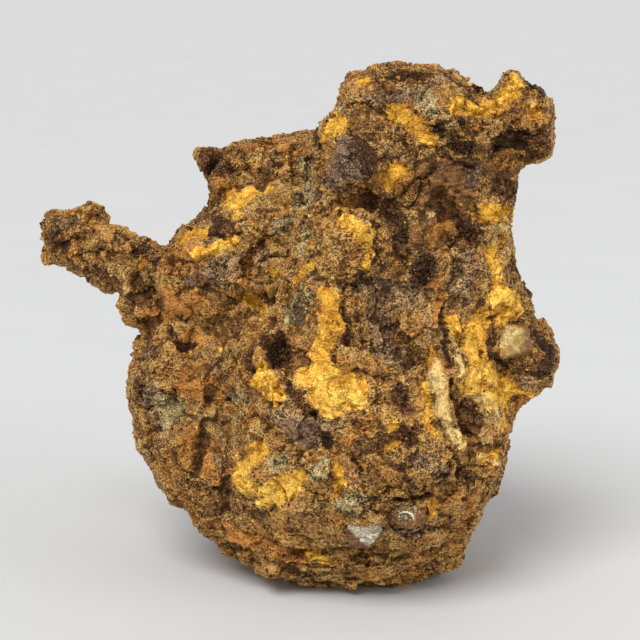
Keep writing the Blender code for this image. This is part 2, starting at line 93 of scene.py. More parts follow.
# Patches of each finish on the front, as chains of discs in pixels of the photograph: x, y, radius
PATCHES = {
    "ochre": {
        "head_corner": ((362, 80, 7),),
        "head_left": ((335, 125, 12), (322, 140, 5)),
        "head_band": ((392, 114, 7), (405, 115, 7), (420, 130, 8), (432, 139, 8)),
        "head_to_knob": ((456, 107, 9), (490, 106, 9), (512, 88, 8), (510, 76, 5)),
        "knob_socket": ((536, 111, 8),),
        "under_lump": ((388, 180, 9), (403, 170, 7)),
        "right_yellow": ((489, 212, 8), (504, 213, 7)),
        "right_yellow_low": ((512, 222, 5), (490, 250, 7), (494, 276, 6)),
        "right_orange": ((498, 298, 13), (512, 305, 10), (500, 317, 9)),
        "block_edge": ((369, 222, 5), (370, 245, 5), (366, 265, 5)),
        "block_face": ((340, 220, 5), (356, 226, 7), (362, 240, 6)),
        "upper_panel": ((325, 292, 6), (331, 300, 8), (333, 325, 10), (325, 340, 9)),
        "bright_patch": ((311, 372, 12), (318, 360, 9), (330, 398, 15), (352, 392, 14), (362, 386, 8)),
        "bright_neck": ((322, 350, 8),),
        "tongue": ((259, 362, 6), (263, 378, 10), (274, 393, 9)),
        "lower_ring": (
            (256, 452, 8), (237, 473, 10), (245, 488, 13), (264, 500, 13), (286, 488, 11), (301, 474, 6),
        ),
        "ring_top": ((262, 448, 8), (252, 458, 9)),
        "curve": ((337, 466, 5), (341, 480, 5), (334, 492, 4)),
        "left_slope": ((232, 196, 9), (238, 205, 11), (252, 193, 9), (270, 192, 7)),
        "left_slope_tail": ((238, 216, 5),),
        "left_stripe": ((198, 254, 6), (215, 247, 6), (233, 238, 6)),
        "yellow_spot": ((272, 274, 6),),
        "middle_low": ((248, 300, 6), (262, 308, 6)),
        "pale_sliver": ((296, 276, 4), (312, 266, 4)),
        "arm_glint": ((145, 260, 5), (140, 272, 3)),
        "flank_upper": ((455, 322, 7), (458, 340, 5)),
        "flank_middle": ((475, 330, 8), (474, 355, 9), (482, 378, 12), (467, 385, 8)),
        "flank_lower": ((490, 400, 9), (505, 396, 9), (506, 412, 8), (500, 428, 7)),
        "flank_foot": ((484, 456, 6), (497, 452, 6)),
        "flank_wide": ((482, 318, 8), (478, 344, 10), (486, 372, 12), (500, 384, 9)),
        "flank_rim": ((508, 400, 8), (512, 388, 7), (522, 392, 6)),
        "streak_edge": ((431, 350, 5), (434, 365, 5), (425, 396, 4), (429, 420, 4), (436, 436, 3)),
        "corner_grain": ((434, 508, 8), (430, 520, 5)),
        "belly_spot": ((395, 432, 8), (390, 446, 6)),
        "slope_left_of_crease": ((187, 238, 9), (205, 232, 7)),
        "foot_band": ((300, 548, 5), (335, 566, 4)),
    },
    "orange": {
        "under_knob": ((500, 162, 8), (512, 158, 6)),
        "hollow_red": ((348, 200, 6), (358, 203, 7), (366, 198, 6)),
        "middle_glow": ((250, 262, 7), (246, 280, 6)),
        "slope_foot": ((170, 262, 12), (200, 256, 10)),
        "neck_low": ((338, 362, 8), (348, 372, 7)),
        "panel_right": ((436, 232, 9), (448, 226, 9)),
        "lobe_shelf": ((188, 338, 9), (200, 344, 7)),
        "lobe_facet": ((216, 398, 9), (186, 388, 9), (190, 372, 8)),
        "orange_facet": ((213, 383, 8),),
        "lobe_edge": ((196, 450, 6), (190, 430, 7), (180, 458, 5)),
        "lower_left": ((208, 446, 9), (204, 468, 9), (216, 475, 7)),
        "horn_stripe": ((222, 157, 4), (224, 170, 6), (221, 183, 7)),
        "top_bump": ((252, 152, 11), (268, 143, 9), (290, 148, 8)),
        "boss_low": ((520, 402, 8), (538, 398, 6)),
        "flank_shade": ((478, 312, 6), (500, 348, 6)),
        "panel_foot": ((388, 402, 5), (402, 396, 5)),
        "belly_glow": ((418, 385, 5), (422, 400, 6)),
        "panel_left": ((436, 280, 5), (440, 300, 5), (437, 316, 6)),
        "belly_low": ((340, 520, 6), (330, 512, 5)),
        "streak_foot": ((448, 482, 4), (452, 486, 4)),
        "corner_low": ((430, 540, 5),),
        "foot_left": ((230, 530, 10), (262, 545, 9), (300, 560, 8)),
        "lower_flank": ((470, 500, 7), (464, 520, 7), (452, 540, 7)),
        "left_middle": ((165, 300, 12), (190, 305, 12), (150, 320, 8)),
        "inner_ring": ((372, 424, 8), (350, 440, 8)),
        "head_low": ((318, 162, 4), (322, 150, 4)),
        "below_shelf": ((346, 208, 4), (330, 214, 4)),
        "red_panel": ((352, 300, 3), (356, 330, 3)),
    },
    "cream": {
        "streak": ((430, 368, 3), (437, 385, 5), (441, 402, 6), (446, 420, 5), (456, 440, 4), (462, 448, 3)),
        "streak_top": ((436, 356, 3), (440, 372, 4), (443, 388, 4)),
        "beside_streak": ((455, 342, 4), (458, 358, 4), (462, 372, 4)),
        "flank_edge": ((487, 396, 3), (498, 412, 3), (506, 428, 3)),
        "pale_facets": ((500, 228, 4), (497, 240, 5)),
        "white_speck_left": ((238, 228, 3), (243, 226, 3)),
        "white_speck_middle": ((283, 266, 3), (286, 270, 3)),
        "white_speck_right": ((428, 215, 3), (432, 213, 2)),
        "pale_corner": ((480, 456, 3), (496, 460, 3)),
    },
    "olive": {
        "under_lump_left": ((308, 164, 8), (312, 178, 11), (306, 192, 11), (313, 205, 9), (300, 205, 7)),
        "head_left_corner": ((340, 112, 7), (333, 117, 5)),
        "left_speckle": ((280, 226, 8), (290, 216, 6)),
        "middle_grey": ((292, 303, 9), (300, 312, 8), (288, 318, 7)),
        "block_left": ((305, 236, 8), (303, 250, 6)),
        "lobe_grey": ((158, 400, 9), (165, 414, 13), (178, 404, 9)),
        "ring_grey": ((276, 464, 8), (286, 460, 5)),
        "curve_grey": ((318, 474, 9), (324, 462, 5)),
        "dark_green": ((343, 502, 9), (358, 500, 9), (350, 510, 6)),
        "head_grey": ((425, 98, 10), (430, 110, 8)),
        "left_edge_grey": ((240, 410, 6), (238, 422, 5)),
        "belly_top": ((240, 398, 8), (228, 396, 6)),
        "right_pale_grey": ((506, 240, 7), (504, 254, 5)),
        "above_bright": ((300, 290, 5), (312, 298, 4)),
    },
    "purple": {
        "lump": ((352, 150, 13), (354, 160, 15), (345, 165, 12)),
        "lump_low": ((335, 182, 9), (340, 187, 6)),
        "left_face": ((194, 278, 11), (208, 283, 8)),
        "belly_face": ((300, 432, 10), (312, 440, 8)),
        "panel_right": ((470, 175, 8), (478, 165, 6)),
    },
    "smooth": {
        "cheek_upper": ((425, 168, 8), (440, 178, 12), (465, 172, 14), (440, 190, 14)),
        "cheek_middle": ((428, 205, 13), (445, 215, 12), (460, 195, 12)),
        "cheek_lower": ((400, 245, 8), (420, 235, 10)),
        "cheek_right": ((488, 172, 7), (505, 178, 8)),
    },
    "slate": {
        "panel": ((372, 308, 14), (376, 330, 14), (382, 350, 12), (398, 368, 12)),
        "panel_upper": ((362, 286, 9), (385, 290, 12), (402, 302, 10)),
        "zone_middle": ((425, 262, 11), (418, 276, 10), (412, 290, 9)),
        "zone_right": ((458, 270, 9), (455, 286, 10), (466, 252, 8), (463, 300, 7)),
        "head_top": ((440, 74, 8), (452, 84, 8), (430, 84, 8)),
        "head_middle": ((375, 100, 9), (392, 98, 8), (408, 94, 7)),
        "slope": ((215, 222, 9), (222, 230, 8), (205, 276, 12), (225, 270, 9)),
        "under_slope": ((240, 262, 8), (262, 256, 8)),
        "lobe": ((150, 390, 9), (150, 410, 11), (160, 425, 10)),
        "belly": ((282, 420, 10), (300, 430, 11), (322, 425, 8)),
        "belly_right": ((425, 462, 10), (440, 472, 8)),
        "below_chips": ((395, 530, 8), (415, 535, 9), (432, 522, 6)),
        "boss": ((530, 372, 8), (520, 382, 7)),
        "left_edge": ((150, 340, 8), (142, 360, 8)),
        "arm": ((60, 225, 7), (75, 218, 6), (52, 240, 5)),
    },
    # Of the dark patches, neck_gap and neck_shadow under the knob and root_shade at the arm's root are
    # painted shade: dark paint where the stone is in shade
    "dark": {
        "horn_tip": ((197, 147, 8), (206, 157, 9), (212, 170, 7)),
        "horn_side": ((232, 152, 6), (239, 155, 5)),
        "lump_rim": ((372, 150, 4), (374, 164, 5), (366, 178, 4)),
        "olive_edge": ((316, 200, 4), (308, 214, 3)),
        "bump_spot": ((293, 145, 4),),
        "bump_line": ((262, 166, 3), (282, 166, 3)),
        "bump_line_upper": ((273, 154, 3), (280, 156, 2)),
        "slope_spot": ((262, 210, 4), (274, 210, 4)),
        "slope_grey": ((215, 214, 5), (220, 224, 7), (216, 234, 6), (244, 222, 4)),
        "arm_root": ((135, 276, 7), (142, 292, 9), (150, 302, 5), (130, 300, 6)),
        "arm_top_crumb": ((145, 240, 5),),
        "arm_under": ((70, 262, 5), (95, 272, 5), (115, 282, 5)),
        "arm_tip": ((44, 232, 4), (46, 246, 5)),
        "head_edge": ((315, 120, 4), (314, 134, 6), (318, 148, 4)),
        "under_lump": ((350, 188, 4), (362, 192, 5), (376, 204, 7)),
        "neck_gap": ((450, 155, 4), (462, 162, 4), (474, 166, 4)),
        "neck_shadow": ((452, 148, 3), (446, 158, 3)),
        "knob_crest": ((532, 88, 6), (540, 94, 5)),
        "knob_hollow": ((500, 146, 7), (515, 138, 9), (530, 140, 9)),
        "knob_lip": ((542, 135, 8), (550, 148, 6), (536, 152, 6)),
        "knob_ridge": ((500, 118, 3), (512, 112, 3), (524, 112, 3)),
        "crumb_column": ((392, 205, 6), (398, 222, 8), (402, 236, 6), (386, 212, 5)),
        "zone_upper": ((462, 222, 8), (474, 238, 9), (455, 240, 8)),
        "panel_edge": ((346, 300, 3), (348, 320, 4), (352, 340, 4)),
        "pit": ((262, 338, 6), (274, 342, 9), (282, 354, 9), (284, 370, 5)),
        "pit_tail": ((288, 382, 4), (296, 396, 5), (306, 408, 5), (314, 418, 4)),
        "pit_left": ((246, 352, 5), (247, 366, 5)),
        "lobe_line": ((170, 334, 5), (180, 346, 5), (192, 348, 5)),
        "lobe_left": ((138, 384, 6), (140, 395, 4)),
        "belly_edge": ((210, 398, 4), (206, 410, 3)),
        "belly_stripe": ((229, 440, 6), (226, 458, 6), (224, 470, 4)),
        "low_spots": ((222, 496, 6), (226, 506, 6), (218, 510, 5)),
        "low_spot_right": ((248, 510, 4), (256, 514, 4), (268, 516, 4)),
        "middle_crumb": ((326, 436, 6), (330, 446, 4)),
        "belly_right": ((398, 392, 6), (405, 400, 5), (406, 412, 6)),
        "belly_right_low": ((362, 440, 5), (358, 452, 5), (420, 428, 5)),
        "flank_line": ((445, 325, 4), (447, 345, 3), (450, 365, 3), (452, 385, 3)),
        "flank_line_low": ((457, 400, 4), (462, 415, 4), (466, 430, 4)),
        "flank_brown": ((466, 404, 6), (474, 418, 9), (470, 430, 7)),
        "crystal_left": ((494, 331, 4), (490, 350, 5), (494, 358, 5)),
        "crystal_right": ((530, 328, 5), (536, 340, 6)),
        "boss_face": ((545, 345, 9), (552, 360, 8), (540, 368, 8), (528, 372, 6)),
        "right_rim": ((500, 186, 9), (510, 192, 9), (515, 202, 6)),
        "arm_face": ((54, 236, 7), (66, 246, 6)),
        "root_shade": ((136, 250, 6), (150, 246, 5)),
        "right_rim_low": ((512, 262, 5), (518, 275, 5)),
        "low_pit": ((463, 470, 6), (470, 482, 7), (466, 490, 5)),
        "low_gap": ((396, 498, 3), (412, 499, 4), (430, 496, 3)),
        "low_gap_upper": ((395, 466, 4), (404, 468, 3)),
        "left_spots": ((258, 246, 5), (196, 265, 4), (206, 285, 5)),
        "above_olive": ((316, 160, 3), (312, 152, 4)),
        "olive_foot": ((320, 204, 4), (322, 196, 4)),
        "head_top": ((440, 70, 5), (452, 82, 5), (478, 92, 6)),
        "head_crust": ((395, 75, 6), (412, 80, 7), (430, 76, 6)),
    },
    "crust": {
        "crumb_column": ((392, 205, 5), (398, 222, 7), (402, 236, 5)),
        "neck_crumb": ((439, 126, 5), (441, 130, 4)),
        "neck_crumb_right": ((463, 124, 4),),
        "gap_crumbs": ((453, 144, 4), (468, 147, 5)),
        "knob_crest": ((532, 88, 6), (540, 94, 5)),
        "head_top": ((452, 82, 4), (478, 92, 5)),
        "pit": ((272, 342, 7), (280, 352, 8)),
        "middle_crumb": ((326, 434, 5), (330, 444, 4)),
        "boss_face": ((548, 352, 8), (545, 364, 7)),
        "lump_side": ((352, 141, 4), (360, 150, 6), (367, 160, 6), (369, 168, 5)),
        "middle_zone": ((424, 265, 8), (420, 280, 7)),
        "gap_left": ((355, 273, 4), (360, 276, 3)),
        "slope_grey": ((220, 224, 5), (216, 234, 4)),
        "low_right": ((420, 505, 5), (404, 430, 4), (408, 444, 4)),
        "upper_right": ((474, 238, 5), (462, 224, 5)),
    },
}

# Forms of the front too low for the solid: lift in millimetres, how wide the shoulder is, and
# the chain. A lift below zero cuts in.
FORMS = {
    "purple_lump": (1.5, 0.9, ((352, 150, 12), (354, 162, 15), (346, 168, 11))),
    "purple_lump_low": (0.8, 0.8, ((335, 182, 9), (340, 187, 7))),
    "hollow_under_lump": (-0.8, 1.2, ((356, 195, 7), (370, 202, 8))),
    "cheek_plate": (0.8, 0.7, ((392, 188, 9), (404, 172, 10), (420, 156, 9))),
    "block": (0.35, 0.5, ((366, 214, 6), (368, 262, 6), (345, 258, 14))),
    "block_groove": (-1.0, 1.0, ((377, 222, 3), (378, 240, 3), (376, 262, 3))),
    "upper_panel": (0.5, 0.5, ((330, 295, 9), (332, 325, 12), (326, 345, 10))),
    "dark_panel": (0.8, 0.5, ((368, 300, 14), (378, 335, 20), (390, 362, 14), (395, 310, 14))),
    "panel_edge_groove": (-1.1, 0.8, ((347, 290, 3), (349, 315, 3), (352, 345, 3))),
    "bright_hollow": (-0.35, 0.9, ((312, 370, 10), (328, 396, 14), (352, 392, 12))),
    "pit": (-1.9, 1.6, ((268, 344, 8), (280, 354, 9))),
    "pit_tail": (-0.8, 1.0, ((288, 384, 4), (300, 402, 4), (312, 418, 4))),
    "crease": (-1.4, 1.2, ((272, 318, 3), (262, 332, 4), (248, 346, 5), (245, 362, 5), (248, 372, 4))),
    "belly_edge": (
        -0.9,
        1.2,
        ((240, 352, 3), (230, 372, 3), (212, 392, 3), (206, 420, 4), (200, 450, 4), (188, 480, 4)),
    ),
    "tongue": (0.6, 0.8, ((259, 362, 6), (264, 380, 10), (272, 392, 8))),
    "ring_hollow": (-0.1, 1.0, ((245, 486, 12), (262, 496, 10), (284, 488, 9))),
    "streak_ridge": (0.7, 0.6, ((434, 360, 4), (440, 390, 6), (444, 420, 5), (456, 442, 4))),
    "streak_groove": (-1.6, 0.8, ((447, 330, 3), (449, 360, 3), (454, 390, 3), (460, 415, 3), (466, 436, 3))),
    "streak_left_groove": (-0.8, 0.6, ((420, 380, 2), (424, 405, 2), (431, 432, 2))),
    "flank_step": (-0.8, 0.8, ((468, 404, 7), (474, 420, 9))),
    "crystal_rim": (-0.5, 0.8, ((494, 330, 4), (490, 350, 5), (500, 362, 4))),
    "neck_gap": (-1.8, 1.2, ((448, 152, 4), (462, 161, 4), (476, 166, 3))),
    "knob_hollow": (-1.2, 1.4, ((505, 143, 7), (520, 140, 9))),
    "knob_ridge": (0.7, 0.7, ((478, 130, 5), (500, 119, 4), (522, 114, 4))),
    "knob_socket": (-0.8, 0.8, ((537, 112, 7),)),
    "right_step": (0.6, 0.6, ((490, 207, 9), (506, 205, 9))),
    "right_orange_block": (0.9, 0.6, ((498, 300, 13), (512, 304, 11))),
    "shelf_line": (-0.9, 0.6, ((395, 166, 2), (410, 164, 2), (430, 156, 2), (440, 148, 2))),
    "shelf_line_low": (-0.7, 0.6, ((400, 196, 2), (412, 184, 2), (432, 170, 2))),
    "left_slit": (-1.6, 0.5, ((284, 553, 2), (296, 556, 2), (308, 555, 1))),
    "right_slit": (-1.5, 0.4, ((358, 559, 1), (370, 562, 1.5), (382, 561, 1))),
    "band_line": (-0.6, 0.6, ((235, 505, 2), (262, 524, 2), (300, 536, 2), (345, 545, 2), (385, 556, 2))),
    "band_line_low": (-0.5, 0.6, ((210, 500, 2), (240, 530, 2), (280, 546, 2))),
    "band_line_right": (-0.7, 0.7, ((480, 500, 2), (470, 520, 2), (452, 541, 2), (430, 556, 2))),
    "low_gap": (-1.5, 0.6, ((395, 499, 2), (412, 500, 3), (430, 496, 2), (442, 499, 2))),
    "low_pit": (-1.2, 1.2, ((462, 472, 5), (470, 484, 6))),
    "lobe_line": (-0.9, 0.9, ((168, 332, 3), (180, 345, 4), (194, 348, 3))),
    "lobe_shelf": (0.7, 0.6, ((176, 326, 6), (200, 338, 8), (216, 345, 6))),
    "arm_root_pit": (-1.2, 1.0, ((138, 280, 5), (144, 296, 6))),
    "slope_edge": (-0.6, 0.6, ((172, 262, 2), (200, 262, 2), (228, 250, 2), (246, 238, 2))),
    "left_crack": (-0.6, 0.5, ((262, 238, 1.5), (285, 232, 1.5), (305, 222, 1.5), (322, 218, 1.5))),
    "right_crack": (-0.6, 0.4, ((446, 232, 1), (438, 246, 1), (430, 252, 1))),
}

# Broad tones: how much lighter (above zero) or darker a region is. They are partly the stone's own
# # colour and partly painted light and shade: lit slopes and faces are painted lighter, and regions
# # under the knob and the lump and at the arm's root are painted darker
TONES = {
    "left_slope": (0.6, ((228, 225, 18), (245, 212, 20), (265, 195, 20))),
    "slope_top": (-0.7, ((200, 222, 12), (185, 235, 10))),
    "neck_lit": (1.0, ((452, 134, 10),)),
    "cheek_top": (-0.7, ((452, 166, 12), (480, 162, 12), (506, 166, 10))),
    "head_grey_dark": (-0.7, ((426, 104, 10),)),
    "arm_face": (-0.6, ((60, 240, 12),)),
    "low_edge_dark": (-0.5, ((204, 222, 8), (146, 250, 8))),
    "knob_right": (-0.4, ((540, 112, 10),)),
    "tongue_shade": (-0.4, ((256, 366, 9),)),
    "streak_left": (0.4, ((430, 392, 10),)),
    "arm_low": (0.5, ((90, 248, 10),)),
    "zone_low": (-0.5, ((452, 278, 12),)),
    "belly_right_dark": (-0.6, ((396, 414, 10),)),
    "head_left_lit": (0.4, ((366, 108, 12),)),
    "left_middle": (0.25, ((190, 305, 30), (225, 310, 25))),
    "middle_glow": (0.85, ((256, 256, 18), (256, 280, 18), (262, 306, 16))),
    "under_olive": (0.3, ((310, 250, 22), (340, 275, 20))),
    "head_right": (-0.6, ((405, 108, 22), (435, 112, 20), (462, 112, 14))),
    "right_side": (0.3, ((500, 290, 24), (488, 380, 28))),
    "right_edge": (-0.8, ((510, 190, 14), (512, 160, 12), (482, 180, 10))),
    "cheek": (-0.2, ((415, 170, 25), (430, 165, 20))),
    "cheek_lit": (0.55, ((452, 200, 16), (448, 224, 16))),
    "panel": (-0.25, ((378, 322, 28),)),
    "chips_left": (-0.45, ((384, 470, 18), (412, 474, 12))),
    "panel_lit": (1.0, ((400, 332, 15),)),
    "middle_left_lit": (0.3, ((230, 300, 14),)),
    "right_low_lit": (0.35, ((480, 412, 12), (452, 444, 10))),
    "panel_edge_dark": (-0.5, ((345, 362, 10),)),
    "bright_patch": (0.7, ((328, 392, 14), (348, 390, 12))),
    "upper_panel": (-0.25, ((328, 310, 10), (328, 350, 10))),
    "lower_ring": (0.85, ((240, 480, 16), (262, 500, 18), (290, 486, 14))),
    "belly_side": (0.45, ((200, 440, 14), (206, 416, 12))),
    "belly": (0.3, ((330, 420, 22), (370, 430, 22), (424, 410, 14))),
    "belly_lit": (0.8, ((398, 444, 18),)),
    "flank_middle": (0.35, ((478, 395, 18), (490, 410, 14))),
    "low_right": (-0.25, ((470, 480, 20), (425, 505, 16))),
    "chip_zone": (-0.5, ((350, 500, 14), (385, 475, 18))),
    "lobe_under": (-0.35, ((170, 470, 22), (190, 500, 16))),
    "arm": (-0.85, ((50, 228, 16), (75, 228, 14), (95, 222, 10))),
    "arm_root": (-0.95, ((120, 250, 10), (146, 250, 14), (165, 245, 10))),
    "foot": (0.15, ((260, 535, 30), (300, 550, 30), (360, 562, 25))),
    "foot_middle": (0.3, ((350, 548, 16), (366, 560, 12))),
    "boss_rim": (-0.8, ((540, 335, 14),)),
    "head_crest": (-0.35, ((375, 78, 12), (425, 76, 12))),
    "horn": (-0.2, ((210, 160, 15),)),
    "hollow_under_lump": (0.25, ((358, 202, 12),)),
    "under_lump_right": (-0.3, ((388, 180, 12), (403, 170, 8))),
    "lump_dark": (-0.5, ((370, 160, 7),)),
    "knob_under": (-0.5, ((520, 145, 16),)),
}

# How each finish changes the surface: lift in millimetres, and how crumbly it is from 0 to 1
FINISHES = {
    "ochre": (-0.25, 0.35),
    "orange": (-0.1, 0.5),
    "cream": (0.05, 0.15),
    "olive": (-0.1, 0.6),
    "purple": (0.1, 1.9),
    "smooth": (0.1, 0.3),
    "slate": (0.05, 0.8),
    "dark": (0.0, 1.0),
    "crust": (0.35, 1.0),
}
GROUND_CRUMBLE = 0.7

# How full a patch is of its own finish; below 1, grains of the ground show in it
FULLNESS = {"olive": 0.76, "orange": 0.74, "slate": 0.78, "dark": 0.88, "ochre": 0.88}

# The finishes in the order that they are laid over the ground; a later one covers an earlier one
LAID_OVER = ("smooth", "slate", "purple", "olive", "orange", "ochre", "dark", "cream", "crust")

# Width of the grains and the flecks that the rust is drawn with, in millimetres
GRAIN = 0.46
FLECK = 0.21

# How much the crystals swell to fill their sockets, in millimetres
CRYSTAL_SWELL = 0.35

# Middles of the clean fronts of the right-hand crystal and the lens, in millimetres
CRYSTAL_HEART = (37.6, -18.6, 46.4)
LENS_HEART = (19.0, -32.0, 19.6)

# The chip's clean face is a triangle that points down. Its lower left and lower right edges: the
# direction out of each, and how far along it the edge lies, in millimetres
CHIP_EDGES = (((-0.755, 0.0, -0.656), -17.9), ((0.837, 0.0, -0.547), 3.7))

# The painted highlight along the lens's upper right edge, a pale ridge: pixels, with its half width in pixels
GLINT = ((399, 514, 0.3), (403, 512, 0.7), (407, 512, 0.9), (411, 514, 1.0), (413, 517, 0.8), (414, 521, 0.3))

# On the sides that the photograph doesn't show: how often each finish comes up, and how many
# patches, forms and tones there are
HIDDEN_SHARES = {
    "ochre": 34,
    "orange": 26,
    "cream": 5,
    "olive": 12,
    "purple": 8,
    "smooth": 8,
    "slate": 30,
    "dark": 36,
    "crust": 18,
}
HIDDEN_PATCHES = 210
HIDDEN_FORMS = 90
HIDDEN_TONES = 36

# What the hidden marks draw from: the smallest and largest radii in millimetres, lifts and
# shoulder widths in millimetres, and tones
HIDDEN_PATCH_RADII = (0.7, 4.8)
HIDDEN_FORM_RADII = (0.5, 3.6)
HIDDEN_TONE_RADII = (4.0, 9.0)
HIDDEN_LIFTS = (-2.4, -1.8, -1.0, -0.6, 0.7, 1.1)
HIDDEN_SHOULDERS = (0.5, 1.4)
HIDDEN_TONE_LEVELS = (-0.8, -0.5, 0.5, 0.8)

# Cosines of the angle between the skin's normal and the line to the camera: the photograph shows
# the skin above the first, and doesn't below the second
SHOWN_FACING = 0.1
HIDDEN_FACING = -0.02

# Width, in millimetres, of the cells that never hold both skin that is shown and a hidden mark's start
HIDDEN_CELL = 4.0

# How far, in millimetres, ragged edges sway, and over what width
SWAYS = ((0.9, 3.1), (0.4, 1.1))

# Chains of the hidden marks: the most discs, the step from disc to disc and the other discs'
# smallest and largest radii, both in radii of the first, and how much small ones are preferred
CHAIN_DISCS = 4
CHAIN_STEP = 1.6
CHAIN_SHRINK = (0.5, 1.1)
SMALL_BIAS = 1.8

# The share of their height that the blocks keep in front, and the places along Y, in millimetres,
# that they grow between; the share of their height that flakes keep where the skin isn't crumbly
BLOCKS_IN_FRONT = 0.35
BLOCKS_GROW = (-8.0, 14.0)
FLAKES_LEAST = 0.4

# Width of the regions that are cracked or whole, and the slow swell of the skin, in millimetres
CRACKED_WIDTH = 6.0
SWELL_HEIGHT = 0.18
SWELL_WIDTH = 3.0

# The beds of the underside: how far each kind juts and how thick it is, in millimetres, the
# heights that they fade out between, and how far they sway up and down over what width
BEDS = ((0.42, 1.9), (0.3, 3.7))
BEDS_FULL = 9.0
BEDS_GONE = 17.0
BED_SWAY = 2.0
BED_SWAY_WIDTH = 9.0

# Width of the crack beside a chip, as a share of the chip
CRACK_WIDTH = 0.11

# The most that the skin may be cut in and lifted, how far it may pass the solids' box, and the
# least height that it keeps over the ground, all in millimetres
DEEPEST_CUT = -2.6
HIGHEST_LIFT = 1.5
BOX_MARGIN = 0.6
GROUND_GAP = 0.02

# How hollows are found: rounds of evening out, and the depth in millimetres that counts as full
HOLLOW_SCALES = ((6, 0.35), (45, 1.4))

# How the smooth skin is evened out, and the angle in degrees above which the mass's edges are sharp
SKIN_ROUNDS = 22
MASS_CREASE = 24

# The layers of loose grains: the smallest and largest in millimetres, and how deep they sit as a
# share of their size. Then the shares of grains that take a finish of their own
GRAIN_LAYERS = {"rust_grains_coarse": (0.4, 1.0, 0.16), "rust_grains_fine": (0.28, 0.6, 0.12)}
GRAIN_STRAYS = {"ochre": 0.08, "orange": 0.08, "dark": 0.16, "cream": 0.012, "crust": 0.04}
CRUMB_LAYER = (0.5, 1.3, 0.2)

# Grid of the crystals' meshes and width of their facets, in millimetres
CRYSTAL_VOXEL = 0.12
CRYSTAL_FACET = 1.3

# Corners of the glint's cross-section
GLINT_SIDES = 6

# The stage, in metres: the floor's radius, where the lights stand and how wide the fill light is.
# The key light's spread, in degrees, softens its shadows
FLOOR_RADIUS = 6.0
KEY_PLACE = (-0.26, -0.5, 0.8)
KEY_SPREAD = 36
FILL_PLACE = (0.7, -0.35, 0.35)
FILL_WIDTH = 0.5


def linear(red, green, blue):
    """A colour from 0 to 255, as a paint chart gives it, as the linear colour that shaders use."""
    steps = [value / 255 for value in (red, green, blue)]
    return tuple(s / 12.92 if s <= 0.04045 else ((s + 0.055) / 1.055) ** 2.4 for s in steps)


def length_property(name, description, default, **limits):
    """A setting of the panel for a length in millimetres."""
    description = f"{description}, in millimetres"
    return bpy.props.FloatProperty(name=name, description=description, default=default, **limits)


def colour_property(name, description, default):
    """A setting of the panel for a colour."""
    return bpy.props.FloatVectorProperty(
        name=name, description=description, default=default, subtype="COLOR")


class MeteoriteSizes(bpy.types.PropertyGroup):
    voxel: length_property("Voxel", "Grid of the fine copy of the mass", 0.38, min=0.3)
    triangles: bpy.props.IntProperty(
        name="Triangles", description="Triangles that the fine mass is thinned to", default=196000)
    block_size: length_property("Block size", "Width of the broken blocks", 10.0)
    block_height: length_property("Block height", "How far the blocks stand out at the back", 2.4)
    crack_depth: length_property("Crack depth", "Depth of the cracks between chips", 0.7)
    chip_size: length_property("Chip size", "Width of the larger broken chips", 4.6)
    chip_height: length_property("Chip height", "How far the larger chips stand out", 1.7)
    flake_size: length_property("Flake size", "Width of the smaller flakes", 2.0)
    flake_height: length_property("Flake height", "How far the smaller flakes stand out", 0.62)
    crumb_size: length_property("Crumb size", "Width of the crumbs of rust in the skin", 1.1)
    crumb_height: length_property("Crumb height", "How far the crumbs in the skin stand out", 0.35)
    grains: bpy.props.IntProperty(
        name="Grains", description="Loose grains in each layer of grains", default=9400)


class MeteoriteColours(bpy.types.PropertyGroup):
    ochre: colour_property("Ochre", "Powdery ochre rust", linear(212, 151, 46))
    yellow: colour_property("Yellow", "The brightest grains of ochre", linear(254, 212, 98))
    orange: colour_property("Orange", "Orange-brown rust", linear(160, 106, 48))
    cream: colour_property("Cream", "Pale weathered olivine", linear(220, 188, 120))
    olive: colour_property("Olive", "Grey-green olivine", linear(146, 126, 86))
    purple: colour_property("Purple", "Purple-grey iron oxide", linear(102, 78, 58))
    slate: colour_property("Slate", "Grey-brown iron oxide", linear(112, 86, 58))
    smooth: colour_property("Smooth brown", "Smooth brown shell of rust", linear(120, 82, 47))
    ground: colour_property("Ground", "Brown rust between the patches", linear(132, 92, 49))
    dark: colour_property("Dark", "Dark oxide crust", linear(70, 44, 21))


class MeteoriteStage(bpy.types.PropertyGroup):
    floor: colour_property("Floor", "Colour of the floor", (0.64, 0.65, 0.66))
    key_strength: bpy.props.FloatProperty(
        name="Key light", description="Strength of the broad light above the front", default=2.4)
    fill_power: bpy.props.FloatProperty(
        name="Fill light", description="Power of the light from the right", default=1.6, unit="POWER")
    air: bpy.props.FloatProperty(
        name="Air", description="Strength of the even light all round", default=0.55)


class Channel:
    """A shader socket that sums and products can use; each step adds a Math node."""

    def __init__(self, sheet, socket):
        self.sheet = sheet
        self.socket = socket

    def math(self, operation, first, second):
        return self.sheet.node("ShaderNodeMath", {"operation": operation}, {0: first, 1: second})

    def __add__(self, other):
        return self.math("ADD", self, other)

    def __radd__(self, other):
        return self.math("ADD", other, self)

    def __sub__(self, other):
        return self.math("SUBTRACT", self, other)

    def __rsub__(self, other):
        return self.math("SUBTRACT", other, self)

    def __mul__(self, other):
        return self.math("MULTIPLY", self, other)

    def __rmul__(self, other):
        return self.math("MULTIPLY", other, self)


